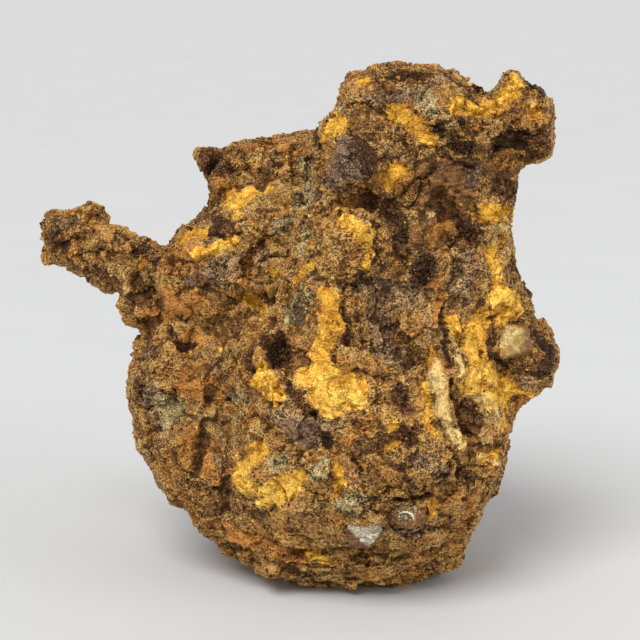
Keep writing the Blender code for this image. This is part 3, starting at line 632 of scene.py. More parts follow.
class Sheet:
    """A material under construction, and the ways to add nodes to it."""

    def __init__(self, name):
        self.material = bpy.data.materials.new(name)
        self.material.use_nodes = True
        self.nodes = self.material.node_tree.nodes
        self.links = self.material.node_tree.links
        self.shader = self.nodes["Principled BSDF"]

    def node(self, kind, settings=None, sockets=None, output=0):
        """Adds a node: its settings first, then its sockets' values or links; gives one output."""
        made = self.nodes.new(kind)
        for name, value in (settings or {}).items():
            if name == "stops":
                set_stops(made.color_ramp, value)
            else:
                setattr(made, name, value)
        for name, value in (sockets or {}).items():
            self.feed(made.inputs[name], value)
        return Channel(self, made.outputs[output])

    def feed(self, socket, value):
        """Links a channel to a socket, or sets the socket's own value."""
        if isinstance(value, Channel):
            self.links.new(value.socket, socket)
        elif isinstance(value, (tuple, list)) and len(value) == 3 and socket.type == "RGBA":
            socket.default_value = (*value, 1.0)
        else:
            socket.default_value = value

    def finish(self, **sockets):
        """Feeds the shader's sockets: Base_Color and the like, with a line for each space."""
        for name, value in sockets.items():
            self.feed(self.shader.inputs[name.replace("_", " ")], value)
        return self.material

    def attribute(self, name):
        return self.node("ShaderNodeAttribute", {"attribute_name": name}, output="Fac")

    def place(self):
        """The place on the object, in millimetres."""
        metres = self.node("ShaderNodeTexCoord", output="Object")
        return self.vector("SCALE", metres, Scale=1 / MM)

    def vector(self, operation, first, second=None, output=0, **sockets):
        values = {0: first}
        if second is not None:
            values[1] = second
        values.update(sockets)
        return self.node("ShaderNodeVectorMath", {"operation": operation}, values, output)

    def noise(self, place, size, detail=2.0, output="Fac"):
        sockets = {"Vector": place, "Scale": 1 / size, "Detail": detail, "Roughness": 0.6}
        return self.node("ShaderNodeTexNoise", {}, sockets, output)

    def cells(self, place, size, output, feature="F1"):
        sockets = {"Vector": place, "Scale": 1 / size}
        return self.node("ShaderNodeTexVoronoi", {"feature": feature}, sockets, output)

    def split(self, colour, part):
        return self.node("ShaderNodeSeparateColor", {}, {"Color": colour}, part)

    def between(self, value, low, high):
        """0 where the value is at low or under, 1 at high or over, and smooth between."""
        sockets = {"Value": value, "From Min": low, "From Max": high}
        return self.node("ShaderNodeMapRange", {"interpolation_type": "SMOOTHSTEP"}, sockets)

    def mix(self, share, first, second, blend="MIX"):
        settings = {"data_type": "RGBA", "blend_type": blend}
        return self.node("ShaderNodeMix", settings, {0: share, 6: first, 7: second}, 2)

    def ramp(self, value, stops):
        return self.node("ShaderNodeValToRGB", {"stops": stops}, {"Fac": value})


def set_stops(ramp, stops):
    """Gives a colour ramp its stops, each a place from 0 to 1 and a colour."""
    while len(ramp.elements) > 1:
        ramp.elements.remove(ramp.elements[-1])
    for index, (spot, colour) in enumerate(stops):
        stop = ramp.elements[0] if index == 0 else ramp.elements.new(spot)
        stop.position = spot
        stop.color = (*colour, 1.0)


def shade(colour, factor, warmth=0.0):
    """A colour made lighter or darker, and warmer or cooler."""
    red, green, blue = colour
    return (
        min(1.0, red * factor * (1 + warmth)),
        min(1.0, green * factor),
        min(1.0, blue * factor * (1 - warmth)),
    )


def camera_place():
    angle = math.radians(VIEW_ELEVATION)
    back = Vector((0, -math.cos(angle), math.sin(angle)))
    return Vector(VIEW_AIM) + back * VIEW_DISTANCE, back


class PhotoRays:
    """Finds the point of a surface that a pixel of the photograph shows."""

    def __init__(self, mesh):
        points, _ = surface_arrays(mesh)
        polygons = [polygon.vertices[:] for polygon in mesh.polygons]
        self.tree = BVHTree.FromPolygons([Vector(point) for point in points], polygons)
        self.eye, back = camera_place()
        self.turn = back.to_track_quat("Z", "Y")

    def point(self, x, y):
        half = PHOTO_SIDE / 2
        aside = Vector(((x - half) * PIXEL, (half - y) * PIXEL, -VIEW_DISTANCE))
        ray = (self.turn @ aside).normalized()
        hit = self.tree.ray_cast(self.eye, ray)[0]
        if hit is None:
            hit = self.tree.find_nearest(self.eye + ray * VIEW_DISTANCE)[0]
        return np.array(hit)

    def chain(self, discs):
        """The discs of a chain as places on the surface, with their radii in millimetres."""
        return [(self.point(x, y), radius * PIXEL * DISC_GROWTH) for x, y, radius in discs]


def inside(points, chain, reach=3.0):
    """How deep each point is inside a chain of discs, in millimetres: below zero outside."""
    depth = np.full(len(points), -reach)
    ends = chain[1:] or chain
    for (start, first), (end, last) in zip(chain, ends):
        span = max(first, last) + reach
        low = np.minimum(start, end) - span
        high = np.maximum(start, end) + span
        near = np.flatnonzero(np.all((points > low) & (points < high), axis=1))
        axis = end - start
        length = axis @ axis
        offset = points[near] - start
        along = np.clip(offset @ axis / length, 0, 1) if length > 0 else np.zeros(len(near))
        away = np.linalg.norm(offset - along[:, None] * axis, axis=1)
        depth[near] = np.maximum(depth[near], first + (last - first) * along - away)
    return depth


def eased(values, low, high):
    """0 at low or under, 1 at high or over, smooth between."""
    steps = np.clip((values - low) / (high - low), 0, 1)
    return steps * steps * (3 - 2 * steps)


def surface_arrays(mesh):
    """A mesh's points in millimetres and its vertex normals."""
    points = np.empty(len(mesh.vertices) * 3)
    normals = np.empty(len(mesh.vertices) * 3)
    mesh.vertices.foreach_get("co", points)
    mesh.vertices.foreach_get("normal", normals)
    return points.reshape(-1, 3) / MM, normals.reshape(-1, 3)


def set_points(mesh, points):
    mesh.vertices.foreach_set("co", (points * MM).ravel())
    mesh.update()


def with_modifiers(mesh, name, modifiers):
    """The mesh with a list of modifiers applied, each a kind and its settings."""
    obj = bpy.data.objects.new(name, mesh)
    bpy.context.scene.collection.objects.link(obj)
    for kind, settings in modifiers:
        modifier = obj.modifiers.new(kind, kind)
        for key, value in settings.items():
            setattr(modifier, key, value)
    graph = bpy.context.evaluated_depsgraph_get()
    made = bpy.data.meshes.new_from_object(obj.evaluated_get(graph))
    bpy.data.objects.remove(obj)
    made.name = name
    return made


def shown_piece(name, mesh, material, slot, *nodes):
    """Puts a finished mesh in the scene, on the stone's body, in place of the nodes named."""
    mesh.name = name
    mesh.materials.clear()
    mesh.materials.append(material)
    obj = bpy.data.objects.new(name, mesh)
    bpy.context.scene.collection.objects.link(obj)
    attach(obj, BODY)
    if nodes:
        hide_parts(*nodes)


def mesh_of(name, points, triangles):
    """A mesh from arrays of points, in millimetres, and triangles."""
    mesh = bpy.data.meshes.new(name)
    mesh.vertices.add(len(points))
    mesh.vertices.foreach_set("co", (points * MM).ravel())
    mesh.loops.add(triangles.size)
    mesh.loops.foreach_set("vertex_index", triangles.ravel())
    mesh.polygons.add(len(triangles))
    mesh.polygons.foreach_set("loop_start", np.arange(0, triangles.size, 3))
    mesh.update(calc_edges=True)
    mesh.validate()
    return mesh


def set_attribute(mesh, name, values):
    attribute = mesh.attributes.new(name, "FLOAT", "POINT")
    attribute.data.foreach_set("value", values.astype(np.float32))


class Chances:
    """Steady numbers from -1 to 1 for the cells of a Voronoi pattern."""

    def __init__(self):
        self.known = {}

    def of(self, centre):
        key = (round(centre.x, 3), round(centre.y, 3), round(centre.z, 3))
        if key not in self.known:
            shifted = centre * 7.31
            self.known[key] = (noise.noise(shifted), noise.noise_vector(shifted))
        return self.known[key]


def chip_at(place, size, chances):
    """How far a broken chip stands out at a place, by its own height and tilt, and its own tone.

    The third number is how near its border is, from 0 to 1.
    """
    away, centres = noise.voronoi(place / size)
    height, tilt = chances.of(centres[0])
    crack = max(0.0, 1.0 - (away[1] - away[0]) / CRACK_WIDTH)
    return 0.5 * height + tilt.dot(place / size - centres[0]), tilt.x + height, crack


class Marks:
    """Every patch, form and tone of the stone, as chains of discs on its smooth skin."""

    def __init__(self, skin_points, skin_normals, rays):
        self.patches = {}
        for kind, group in PATCHES.items():
            self.patches[kind] = [rays.chain(discs) for discs in group.values()]
        self.forms = [(lift, width, rays.chain(discs)) for lift, width, discs in FORMS.values()]
        self.tones = [(tone, rays.chain(discs)) for tone, discs in TONES.values()]
        self.scatter(skin_points, skin_normals, rays.eye)

    def scatter(self, points, normals, eye):
        """Adds seeded marks of the same kinds where the photograph doesn't look."""
        rng = np.random.default_rng(SEED)
        sight = np.array(eye) - points
        facing = np.einsum("ij,ij->i", normals, sight / np.linalg.norm(sight, axis=1)[:, None])
        cells = [tuple(cell) for cell in np.floor(points / HIDDEN_CELL).astype(int)]
        shown = {cells[index] for index in np.flatnonzero(facing > SHOWN_FACING)}
        hidden = np.array([i for i in np.flatnonzero(facing < HIDDEN_FACING) if cells[i] not in shown])
        kinds = list(HIDDEN_SHARES)
        shares = np.array([HIDDEN_SHARES[kind] for kind in kinds], float)
        picks = rng.choice(len(kinds), HIDDEN_PATCHES, p=shares / shares.sum())
        for pick in picks:
            self.patches[kinds[pick]].append(random_chain(rng, points, hidden, *HIDDEN_PATCH_RADII))
        for _ in range(HIDDEN_FORMS):
            lift = rng.choice(HIDDEN_LIFTS)
            width = rng.uniform(*HIDDEN_SHOULDERS)
            self.forms.append((lift, width, random_chain(rng, points, hidden, *HIDDEN_FORM_RADII)))
        for _ in range(HIDDEN_TONES):
            tone = rng.choice(HIDDEN_TONE_LEVELS)
            self.tones.append((tone, random_chain(rng, points, hidden, *HIDDEN_TONE_RADII)))

    def shares(self, kind, points, soft=0.5):
        """How much of a finish each point has, from 0 to 1."""
        depth = np.full(len(points), -3.0)
        for chain in self.patches[kind]:
            depth = np.maximum(depth, inside(points, chain))
        return eased(depth, -soft, soft)

    def lift(self, points):
        total = np.zeros(len(points))
        for lift, width, chain in self.forms:
            total += lift * eased(inside(points, chain), -width / 2, width / 2 + 0.2)
        return total

    def tone(self, points):
        total = np.zeros(len(points))
        for tone, chain in self.tones:
            total += tone * eased(inside(points, chain, reach=5.0), -4.0, 3.0)
        return np.clip(total, -1, 1)


def random_chain(rng, points, choice, small, large):
    """A chain of one to four discs that wanders over the surface from a random point."""
    spot = points[rng.choice(choice)]
    radius = small + (large - small) * rng.uniform() ** SMALL_BIAS
    chain = [(spot, radius)]
    for _ in range(rng.integers(0, CHAIN_DISCS)):
        step = rng.normal(size=3)
        step *= radius * CHAIN_STEP / np.linalg.norm(step)
        spot = points[choice[np.argmin(((points[choice] - spot - step) ** 2).sum(axis=1))]]
        chain.append((spot, radius * rng.uniform(*CHAIN_SHRINK)))
    return chain


def warped(points):
    """The points moved about a little, so that what is drawn by distance gets ragged edges."""
    moved = np.empty_like(points)
    for index, point in enumerate(points):
        place = Vector(point)
        swayed = place.copy()
        for far, width in SWAYS:
            swayed += far * noise.noise_vector(place / width)
        moved[index] = swayed
    return moved


def crumble(marks, points):
    """How crumbly the skin is at each point, from the finishes there."""
    total = np.full(len(points), GROUND_CRUMBLE)
    for kind, (_, crumbly) in FINISHES.items():
        share = marks.shares(kind, points)
        total += share * (crumbly - total)
    return total


def bed_lift(points, sway):
    """Thin beds on the underside, each jutting at its top."""
    height = points[:, 2] - 0.3 * points[:, 0] * np.sign(points[:, 0]) * 0.25 - 0.22 * points[:, 1] + sway
    fade = eased(-points[:, 2], -BEDS_GONE, -BEDS_FULL)
    return fade * sum(juts * ((height / thick) % 1.0 - 0.5) for juts, thick in BEDS)


def roughen(mesh, marks, sizes):
    """Breaks the smooth skin into chips, flakes, crumbs, beds and the front's own forms."""
    points, normals = surface_arrays(mesh)
    places = warped(points)
    crumbly = crumble(marks, places)
    backward = BLOCKS_IN_FRONT + (1 - BLOCKS_IN_FRONT) * eased(points[:, 1], *BLOCKS_GROW)
    blocks = Chances()
    chips = Chances()
    flakes = Chances()
    rough = np.empty(len(points))
    sway = np.empty(len(points))
    facet = np.empty(len(points))
    for index, point in enumerate(places):
        place = Vector(point)
        block, block_tone, _ = chip_at(place, sizes.block_size, blocks)
        chip, chip_tone, crack = chip_at(place, sizes.chip_size, chips)
        flake, flake_tone, _ = chip_at(place, sizes.flake_size, flakes)
        broken = FLAKES_LEAST + (1 - FLAKES_LEAST) * crumbly[index]
        lift = backward[index] * sizes.block_height * block
        lift += sizes.chip_height * chip + broken * sizes.flake_height * flake
        cracked = max(0.0, 2.4 * noise.noise(place / CRACKED_WIDTH) - 0.15)
        lift -= sizes.crack_depth * crack * cracked
        near = noise.voronoi(place / sizes.crumb_size)[0][0]
        lift += crumbly[index] * sizes.crumb_height * (0.45 - near) * 1.6
        lift += SWELL_HEIGHT * noise.fractal(place / SWELL_WIDTH, 1.0, 2.2, 3)
        rough[index] = lift
        sway[index] = BED_SWAY * noise.noise(place / BED_SWAY_WIDTH)
        facet[index] = 0.6 * (chip_tone + flake_tone + block_tone * backward[index])
    rough += bed_lift(points, sway)
    rough += marks.lift(places)
    for kind, (lift, _) in FINISHES.items():
        rough += lift * marks.shares(kind, places, soft=0.35)
    moved = points + normals * np.clip(rough, DEEPEST_CUT, HIGHEST_LIFT)[:, None]
    moved[:, 2] = np.maximum(moved[:, 2], GROUND_GAP)
    low = np.array(CAD_BOX[0]) / MM - BOX_MARGIN
    high = np.array(CAD_BOX[1]) / MM + BOX_MARGIN
    for kind in PATCHES:
        set_attribute(mesh, kind, marks.shares(kind, places, soft=0.6))
    halo = marks.shares("ochre", places, soft=1.8)
    set_attribute(mesh, "halo", halo)
    core = np.where(halo > 0.5, (halo - 0.5) * 0.3, 0.0)
    # The tone is partly painted light and shade of the front's regions; the ochre's cores are lighter
    set_attribute(mesh, "tone", 0.5 + 0.5 * marks.tone(points) + core)
    set_attribute(mesh, "facet", 0.5 + facet)
    set_points(mesh, np.clip(moved, low, high))


def hollowness(points, normals, edges, rounds):
    """How far each point lies below its surroundings, in millimetres; above zero in a hollow."""
    count = np.bincount(edges.ravel(), minlength=len(points))[:, None]
    even = points.copy()
    for _ in range(rounds):
        total = np.empty_like(even)
        for axis in range(3):
            total[:, axis] = np.bincount(edges[:, 0], even[edges[:, 1], axis], len(points))
            total[:, axis] += np.bincount(edges[:, 1], even[edges[:, 0], axis], len(points))
        even = 0.4 * even + 0.6 * total / np.maximum(count, 1)
    return np.einsum("ij,ij->i", even - points, normals)


def set_hollowness(mesh):
    """Writes how hollow or raised each point is, from 1 to 0, to the mesh."""
    points, normals = surface_arrays(mesh)
    edges = np.empty(len(mesh.edges) * 2, np.int64)
    mesh.edges.foreach_get("vertices", edges)
    edges = edges.reshape(-1, 2)
    # The rust is drawn darker in hollows by this value, a painted shade
    hollow = sum(hollowness(points, normals, edges, rounds) / full for rounds, full in HOLLOW_SCALES)
    set_attribute(mesh, "hollow", np.clip(0.5 + 0.5 * hollow, 0, 1))
    set_attribute(mesh, "tint", np.full(len(points), 0.5))


def grain_colours(colour, dark, light):
    """A ramp from a few dark grains through the finish's own colour to a few light ones."""
    return (
        (0.0, shade(colour, dark, -0.02)),
        (0.3, shade(colour, 0.5 + 0.5 * dark, 0.03)),
        (0.5, colour),
        (0.78, shade(colour, 0.6 + 0.4 * light, 0.0)),
        (1.0, shade(colour, light, -0.08)),
    )


def rust_ramps(colours):
    """The stops of each finish's colours, from its darkest to its lightest grains."""
    return {
        "ground": (
            (0.0, shade(colours.dark, 0.6)),
            (0.2, shade(colours.smooth, 0.75)),
            (0.42, shade(colours.ground, 0.85)),
            (0.66, shade(colours.ground, 1.45)),
            (0.86, shade(colours.ochre, 0.85)),
            (1.0, shade(colours.cream, 0.8)),
        ),
        "ashy": grain_colours(colours.slate, 0.3, 3.2),
        "ruddy": grain_colours(colours.orange, 0.22, 1.9),
        "smooth": grain_colours(colours.smooth, 0.3, 2.4),
        "slate": grain_colours(colours.slate, 0.2, 3.6),
        "purple": grain_colours(colours.purple, 0.25, 2.6),
        "olive": grain_colours(colours.olive, 0.15, 2.4),
        "orange": grain_colours(colours.orange, 0.3, 1.9),
        "ochre": (
            (0.0, shade(colours.orange, 0.3)),
            (0.22, shade(colours.orange, 0.85)),
            (0.48, shade(colours.ochre, 0.85)),
            (0.74, shade(colours.ochre, 1.2)),
            (1.0, tuple(colours.yellow)),
        ),
        "dark": grain_colours(colours.dark, 0.35, 5.0),
        "cream": (
            (0.0, shade(colours.orange, 0.4)),
            (0.2, shade(colours.ochre, 0.8)),
            (0.42, shade(colours.cream, 0.95)),
            (1.0, shade(colours.cream, 1.35)),
        ),
        "crust": grain_colours(shade(colours.dark, 0.5), 0.3, 4.0),
    }


def rust_material(colours):
    """Rust of many finishes, grain by grain, from the attributes of the mesh."""
    sheet = Sheet("rusted iron and olivine")
    ramps = rust_ramps(colours)
    place = sheet.place()
    stir = sheet.noise(place, 0.9, 1.0, "Color")
    stirred = sheet.vector("ADD", place, sheet.vector("SCALE", stir, Scale=0.45))
    grain = sheet.cells(stirred, GRAIN, "Color")
    fleck = sheet.cells(stirred, FLECK, "Color")
    patchy = sheet.noise(place, 2.6, 3.0)
    fray = sheet.noise(place, 0.8, 3.0) - 0.5
    tint = sheet.attribute("tint") - 0.5
    tone = sheet.attribute("tone") - 0.5
    hollow = sheet.attribute("hollow") - 0.5
    facet = sheet.attribute("facet") - 0.5
    seams = sheet.noise(sheet.vector("MULTIPLY", stirred, (0.35, 0.35, 1.7)), 1.0, 3.0) - 0.5
    height_now = sheet.node("ShaderNodeSeparateXYZ", {}, {"Vector": place}, "Z")
    low = 1 - sheet.between(height_now, 8.0, 17.0)
    grainy = sheet.between(sheet.noise(sheet.vector("ADD", place, (9.0, 23.0, 4.0)), 5.0, 3.0), 0.4, 0.62)
    speck = (sheet.split(fleck, "Red") - 0.5) * (0.85 + grainy * 0.5 - low * 0.25)
    upright = sheet.noise(sheet.vector("MULTIPLY", stirred, (1.7, 1.7, 0.35)), 1.0, 3.0) - 0.5
    web = sheet.noise(sheet.vector("MULTIPLY", stirred, (0.75, 0.75, 1.5)), 3.0, 4.0) - 0.5
    hairline = 1 - sheet.between(web.math("ABSOLUTE", web, 0.0), 0.006, 0.032)
    hairline = hairline * sheet.between(sheet.noise(place, 6.5, 1.0), 0.43, 0.55)
    spread = (sheet.split(grain, "Red") - 0.5) * 0.28 + speck + (patchy - 0.5) * 0.38
    # The tone paints in part the front's light and shade, and hollows are drawn darker, a painted shade
    pick = spread + 0.6 + tint * 0.45 + tone * 0.55 + facet * 0.2 - hollow * 0.22
    pick = pick + (seams + 0.03) * low * 1.6 - hairline * 0.36
    calm = pick - speck * 0.5 + (patchy - 0.5) * 0.5 + seams * 0.5 + hairline * 0.24
    colour = sheet.ramp(pick, ramps["ground"])
    ashy = sheet.between(sheet.noise(place, 5.5, 4.0), 0.5, 0.66) * 0.6
    colour = sheet.mix(ashy, colour, sheet.ramp(pick, ramps["ashy"]))
    ruddy = sheet.between(sheet.noise(sheet.vector("ADD", place, (31.0, 7.0, 19.0)), 4.2, 4.0), 0.48, 0.6)
    halo = sheet.between(sheet.attribute("halo") + fray * 0.5, 0.25, 0.85)
    glow = ruddy * 0.5 + halo * 0.5
    colour = sheet.mix(glow, colour, sheet.ramp(pick, ramps["ruddy"]))
    picks = {"smooth": calm + seams * 0.9, "cream": calm + upright * 1.8, "ochre": calm}
    scatter = sheet.split(grain, "Blue") * 0.5 - 0.25
    masks = {}
    for kind in LAID_OVER:
        share = sheet.attribute(kind) * FULLNESS.get(kind, 1.0)
        masks[kind] = sheet.between(share + fray * 0.9 + scatter, 0.4, 0.62)
        colour = sheet.mix(masks[kind], colour, sheet.ramp(picks.get(kind, pick), ramps[kind]))
    # Painted shade: hollows are darkened towards dark brown, less so in cream and ochre
    shade_spared = masks["cream"] * 0.5 + masks["ochre"] * 0.7
    painted_hollow_shade = sheet.between(hollow, 0.08, 0.5) * (1 - shade_spared) * 0.6
    colour = sheet.mix(painted_hollow_shade, colour, shade(colours.dark, 0.7, 0.1))
    rub = sheet.between(0 - hollow, 0.05, 0.45) * 0.35
    colour = sheet.mix(rub, colour, sheet.mix(1.0, colour, (1.5, 1.45, 1.4), "MULTIPLY"))
    gloss = masks["crust"] * 0.5 + masks["dark"] * 0.14 + masks["purple"] * 0.12 - masks["ochre"] * 0.1
    shine = sheet.between(sheet.split(grain, "Green"), 0.62, 0.95) * 0.3
    rough = 0.72 - gloss - shine * (1 - masks["ochre"] * 0.8)
    turned = sheet.vector("SCALE", sheet.vector("SUBTRACT", grain, (0.5, 0.5, 0.5)), Scale=0.7)
    fine = sheet.vector("SCALE", sheet.vector("SUBTRACT", fleck, (0.5, 0.5, 0.5)), Scale=0.6)
    tilt = sheet.vector("ADD", turned, fine)
    normal = sheet.node("ShaderNodeNewGeometry", output="Normal")
    tilted = sheet.vector("NORMALIZE", sheet.vector("ADD", normal, tilt))
    height = sheet.split(grain, "Blue") * 0.09 + sheet.noise(place, 0.45, 4.0) * 0.22
    height = height - sheet.cells(stirred, GRAIN, "Distance") * 0.08
    height = height + seams * (masks["smooth"] + low) * 0.7 + upright * masks["cream"] - hairline * 0.4
    bump = sheet.node("ShaderNodeBump", {}, {"Height": height, "Distance": MM, "Normal": tilted})
    return sheet.finish(Base_Color=colour, Roughness=rough, Normal=bump, Specular_IOR_Level=0.2)


def smooth_shaded(mesh, crease=180):
    """Shades the mesh smooth, apart from edges sharper than a crease angle in degrees."""
    mesh.polygons.foreach_set("use_smooth", np.ones(len(mesh.polygons), bool))
    if crease < 180:
        mesh.set_sharp_from_angle(angle=math.radians(crease))


def sampled(mesh, rng, count, weights):
    """Random places on the mesh: points, normals and the vertex nearest each."""
    points, _ = surface_arrays(mesh)
    mesh.calc_loop_triangles()
    corners = np.empty(len(mesh.loop_triangles) * 3, np.int64)
    mesh.loop_triangles.foreach_get("vertices", corners)
    corners = corners.reshape(-1, 3)
    first, second, third = (points[corners[:, i]] for i in range(3))
    across = np.cross(second - first, third - first)
    area = np.linalg.norm(across, axis=1)
    chosen = area * weights[corners[:, 0]]
    picks = rng.choice(len(corners), count, p=chosen / chosen.sum())
    share = rng.uniform(size=(2, count))
    flip = share.sum(axis=0) > 1
    share[:, flip] = 1 - share[:, flip]
    along, aside = share[:, :, None]
    spots = first[picks] + along * (second - first)[picks] + aside * (third - first)[picks]
    return spots, across[picks] / np.maximum(area[picks], 1e-9)[:, None], corners[picks, 0]


def random_turns(rng, count):
    """Random rotation matrices."""
    turns, _ = np.linalg.qr(rng.normal(size=(count, 3, 3)))
    return turns * np.sign(np.linalg.det(turns))[:, None, None]


def grain_shape():
    """The points and triangles of an icosahedron, the form that each grain is bent from."""
    bm = bmesh.new()
    bmesh.ops.create_icosphere(bm, subdivisions=1, radius=0.5)
    points = np.array([vert.co[:] for vert in bm.verts])
    triangles = np.array([[vert.index for vert in face.verts] for face in bm.faces])
    bm.free()
    return points, triangles


def grain_cloud(name, mass, rng, count, weights, small, large, sunk):
    """Loose angular grains set in the mass; gives the mesh and each grain's nearest vertex."""
    spots, outward, nearest = sampled(mass, rng, count, weights)
    base, faces = grain_shape()
    size = small * (large / small) ** rng.uniform(size=(count, 1)) ** 1.6
    shape = base[None] * (1 + rng.uniform(-0.35, 0.35, size=(count, len(base), 1)))
    shape *= (size * rng.uniform(0.6, 1.2, size=(count, 3)))[:, None, :]
    shape = np.einsum("nij,nkj->nki", random_turns(rng, count), shape)
    centres = spots - outward * size * sunk
    points = (shape + centres[:, None, :]).reshape(-1, 3)
    points[:, 2] = np.maximum(points[:, 2], GROUND_GAP)
    triangles = (faces[None] + len(base) * np.arange(count)[:, None, None]).reshape(-1, 3)
    return mesh_of(name, points, triangles), nearest


def read_attribute(mesh, name):
    values = np.empty(len(mesh.vertices), np.float32)
    mesh.attributes[name].data.foreach_get("value", values)
    return values


def give_grain_finish(mesh, mass, nearest, rng, strays):
    """Each grain takes the finish of the mass beneath it, apart from a share of strays."""
    count = len(nearest)
    corners = len(mesh.vertices) // count
    fate = rng.uniform(size=count)
    level = 0.0
    stray = {}
    for kind, share in strays.items():
        stray[kind] = (fate >= level) & (fate < level + share)
        level += share
    for kind in PATCHES:
        values = read_attribute(mass, kind)[nearest]
        values[fate < level] = 0.0
        if kind in stray:
            values[stray[kind]] = 1.0
        set_attribute(mesh, kind, np.repeat(values, corners))
    # The grains take the mass's tone and hollows too, with the painted light and shade that they carry
    for name in ("tone", "hollow", "facet", "halo"):
        values = read_attribute(mass, name)[nearest]
        set_attribute(mesh, name, np.repeat(values, corners))
    set_attribute(mesh, "tint", np.repeat(rng.uniform(0.2, 0.75, size=count), corners))


class METEORITE_OT_mass(bpy.types.Operator):
    """Builds the rusted mass over its solid"""

    bl_idname = "meteorite.mass"
    bl_label = "Rusted mass"

    def execute(self, context):
        sizes = context.scene.meteorite_sizes
        noise.seed_set(SEED)
        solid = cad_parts[STONE].data.copy()
        smoothing = ("SMOOTH", {"factor": 0.5, "iterations": SKIN_ROUNDS})
        voxels = ("REMESH", {"mode": "VOXEL", "voxel_size": sizes.voxel * MM})
        skin = with_modifiers(solid, "smooth skin", [voxels, smoothing])
        marks = Marks(*surface_arrays(skin), PhotoRays(skin))
        roughen(skin, marks, sizes)
        triangles = 2 * len(skin.polygons)
        thin = {"ratio": min(1.0, sizes.triangles / triangles), "use_collapse_triangulate": True}
        mass = with_modifiers(skin, "mass", [("DECIMATE", thin)])
        smooth_shaded(mass, crease=MASS_CREASE)
        set_hollowness(mass)
        rust = rust_material(context.scene.meteorite_colours)
        shown_piece("stone_mass", mass, rust, "rusted_iron", STONE)
        return {"FINISHED"}


class METEORITE_OT_grains(bpy.types.Operator):
    """Sets loose grains of rust and glossy black crumbs in the mass"""

    bl_idname = "meteorite.grains"
    bl_label = "Grains and crumbs"

    def execute(self, context):
        count = context.scene.meteorite_sizes.grains
        mass = bpy.data.objects["stone_mass"].data
        rust = bpy.data.materials["rusted iron and olivine"]
        rng = np.random.default_rng(SEED)
        bare = read_attribute(mass, "ochre") + read_attribute(mass, "smooth") + read_attribute(mass, "cream")
        lively = np.clip(1.0 - 0.8 * bare, 0.12, 1.0)
        for name, layer in GRAIN_LAYERS.items():
            mesh, nearest = grain_cloud(name, mass, rng, count, lively, *layer)
            give_grain_finish(mesh, mass, nearest, rng, GRAIN_STRAYS)
            shown_piece(name, mesh, rust, "rusted_iron")
        crusty = read_attribute(mass, "crust") + 0.12 * read_attribute(mass, "dark")
        mesh, nearest = grain_cloud("black_crumbs", mass, rng, count // 4, crusty, *CRUMB_LAYER)
        give_grain_finish(mesh, mass, nearest, rng, {"crust": 1.0})
        shown_piece("black_crumbs", mesh, rust, "rusted_iron")
        return {"FINISHED"}


def crystal_mesh(node, bevel, rough):
    """A node's crystal with softened edges and slightly uneven faces."""
    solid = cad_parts[node].data.copy()
    soften = ("BEVEL", {"width": bevel * MM, "segments": 2, "limit_method": "ANGLE"})
    refine = ("REMESH", {"mode": "VOXEL", "voxel_size": CRYSTAL_VOXEL * MM})
    settle = ("SMOOTH", {"factor": 0.5, "iterations": 3})
    mesh = with_modifiers(solid, node, [soften, refine, settle])
    points, normals = surface_arrays(mesh)
    chances = Chances()
    for index, point in enumerate(points):
        place = Vector(point)
        facet, _, _ = chip_at(place, CRYSTAL_FACET, chances)
        lift = rough * facet + 0.5 * rough * noise.noise(place / 0.5)
        points[index] = point + normals[index] * (CRYSTAL_SWELL + lift)
    set_points(mesh, points)
    smooth_shaded(mesh)
    return mesh


def rusty_rim(sheet, place, colour, heart, clear, covered, rust):
    """The crystal's colour near its heart, giving way raggedly to rust further out."""
    away = sheet.vector("DISTANCE", place, heart, output="Value")
    ragged = away + (sheet.noise(place, 1.1, 4.0) - 0.5) * 4.0
    return sheet.mix(sheet.between(ragged, clear, covered), colour, rust)


def glassy_material():
    """Pale yellow-green olivine, part clear, with rust in its cracks."""
    sheet = Sheet("glassy olivine")
    place = sheet.place()
    veil = sheet.noise(place, 1.6, 4.0)
    cracks = sheet.between(sheet.cells(place, 1.3, "Distance", "DISTANCE_TO_EDGE"), 0.0, 0.05)
    stops = ((0.3, linear(190, 138, 54)), (0.5, linear(222, 184, 92)), (0.7, linear(248, 232, 160)))
    pale = sheet.ramp(veil, stops)
    colour = sheet.mix(cracks * 0.5 + 0.5, linear(170, 112, 40), pale)
    colour = rusty_rim(sheet, place, colour, CRYSTAL_HEART, 2.4, 4.2, linear(150, 96, 30))
    bump = sheet.node("ShaderNodeBump", {}, {"Height": veil * 0.35 + cracks * 0.05, "Distance": MM})
    return sheet.finish(Base_Color=colour, Roughness=0.2, Normal=bump, IOR=1.6, Transmission_Weight=0.3)


def lens_material():
    """Grey-green olivine, speckled with rust, with a glassy skin."""
    sheet = Sheet("clear olivine")
    place = sheet.place()
    veil = sheet.noise(place, 1.2, 4.0)
    fleck = sheet.split(sheet.cells(place, FLECK, "Color"), "Red")
    stops = (
        (0.25, linear(60, 42, 24)),
        (0.5, linear(108, 84, 50)),
        (0.7, linear(140, 118, 76)),
        (0.95, linear(206, 188, 136)),
    )
    bump = sheet.node("ShaderNodeBump", {}, {"Height": veil * 0.5 + fleck * 0.15, "Distance": MM})
    colour = sheet.ramp(veil * 0.4 + fleck * 0.8, stops)
    rust = sheet.ramp(fleck, grain_colours(linear(130, 86, 38), 0.25, 2.2))
    colour = rusty_rim(sheet, place, colour, LENS_HEART, 1.2, 2.4, rust)
    return sheet.finish(Base_Color=colour, Roughness=0.45, Normal=bump, IOR=1.5)


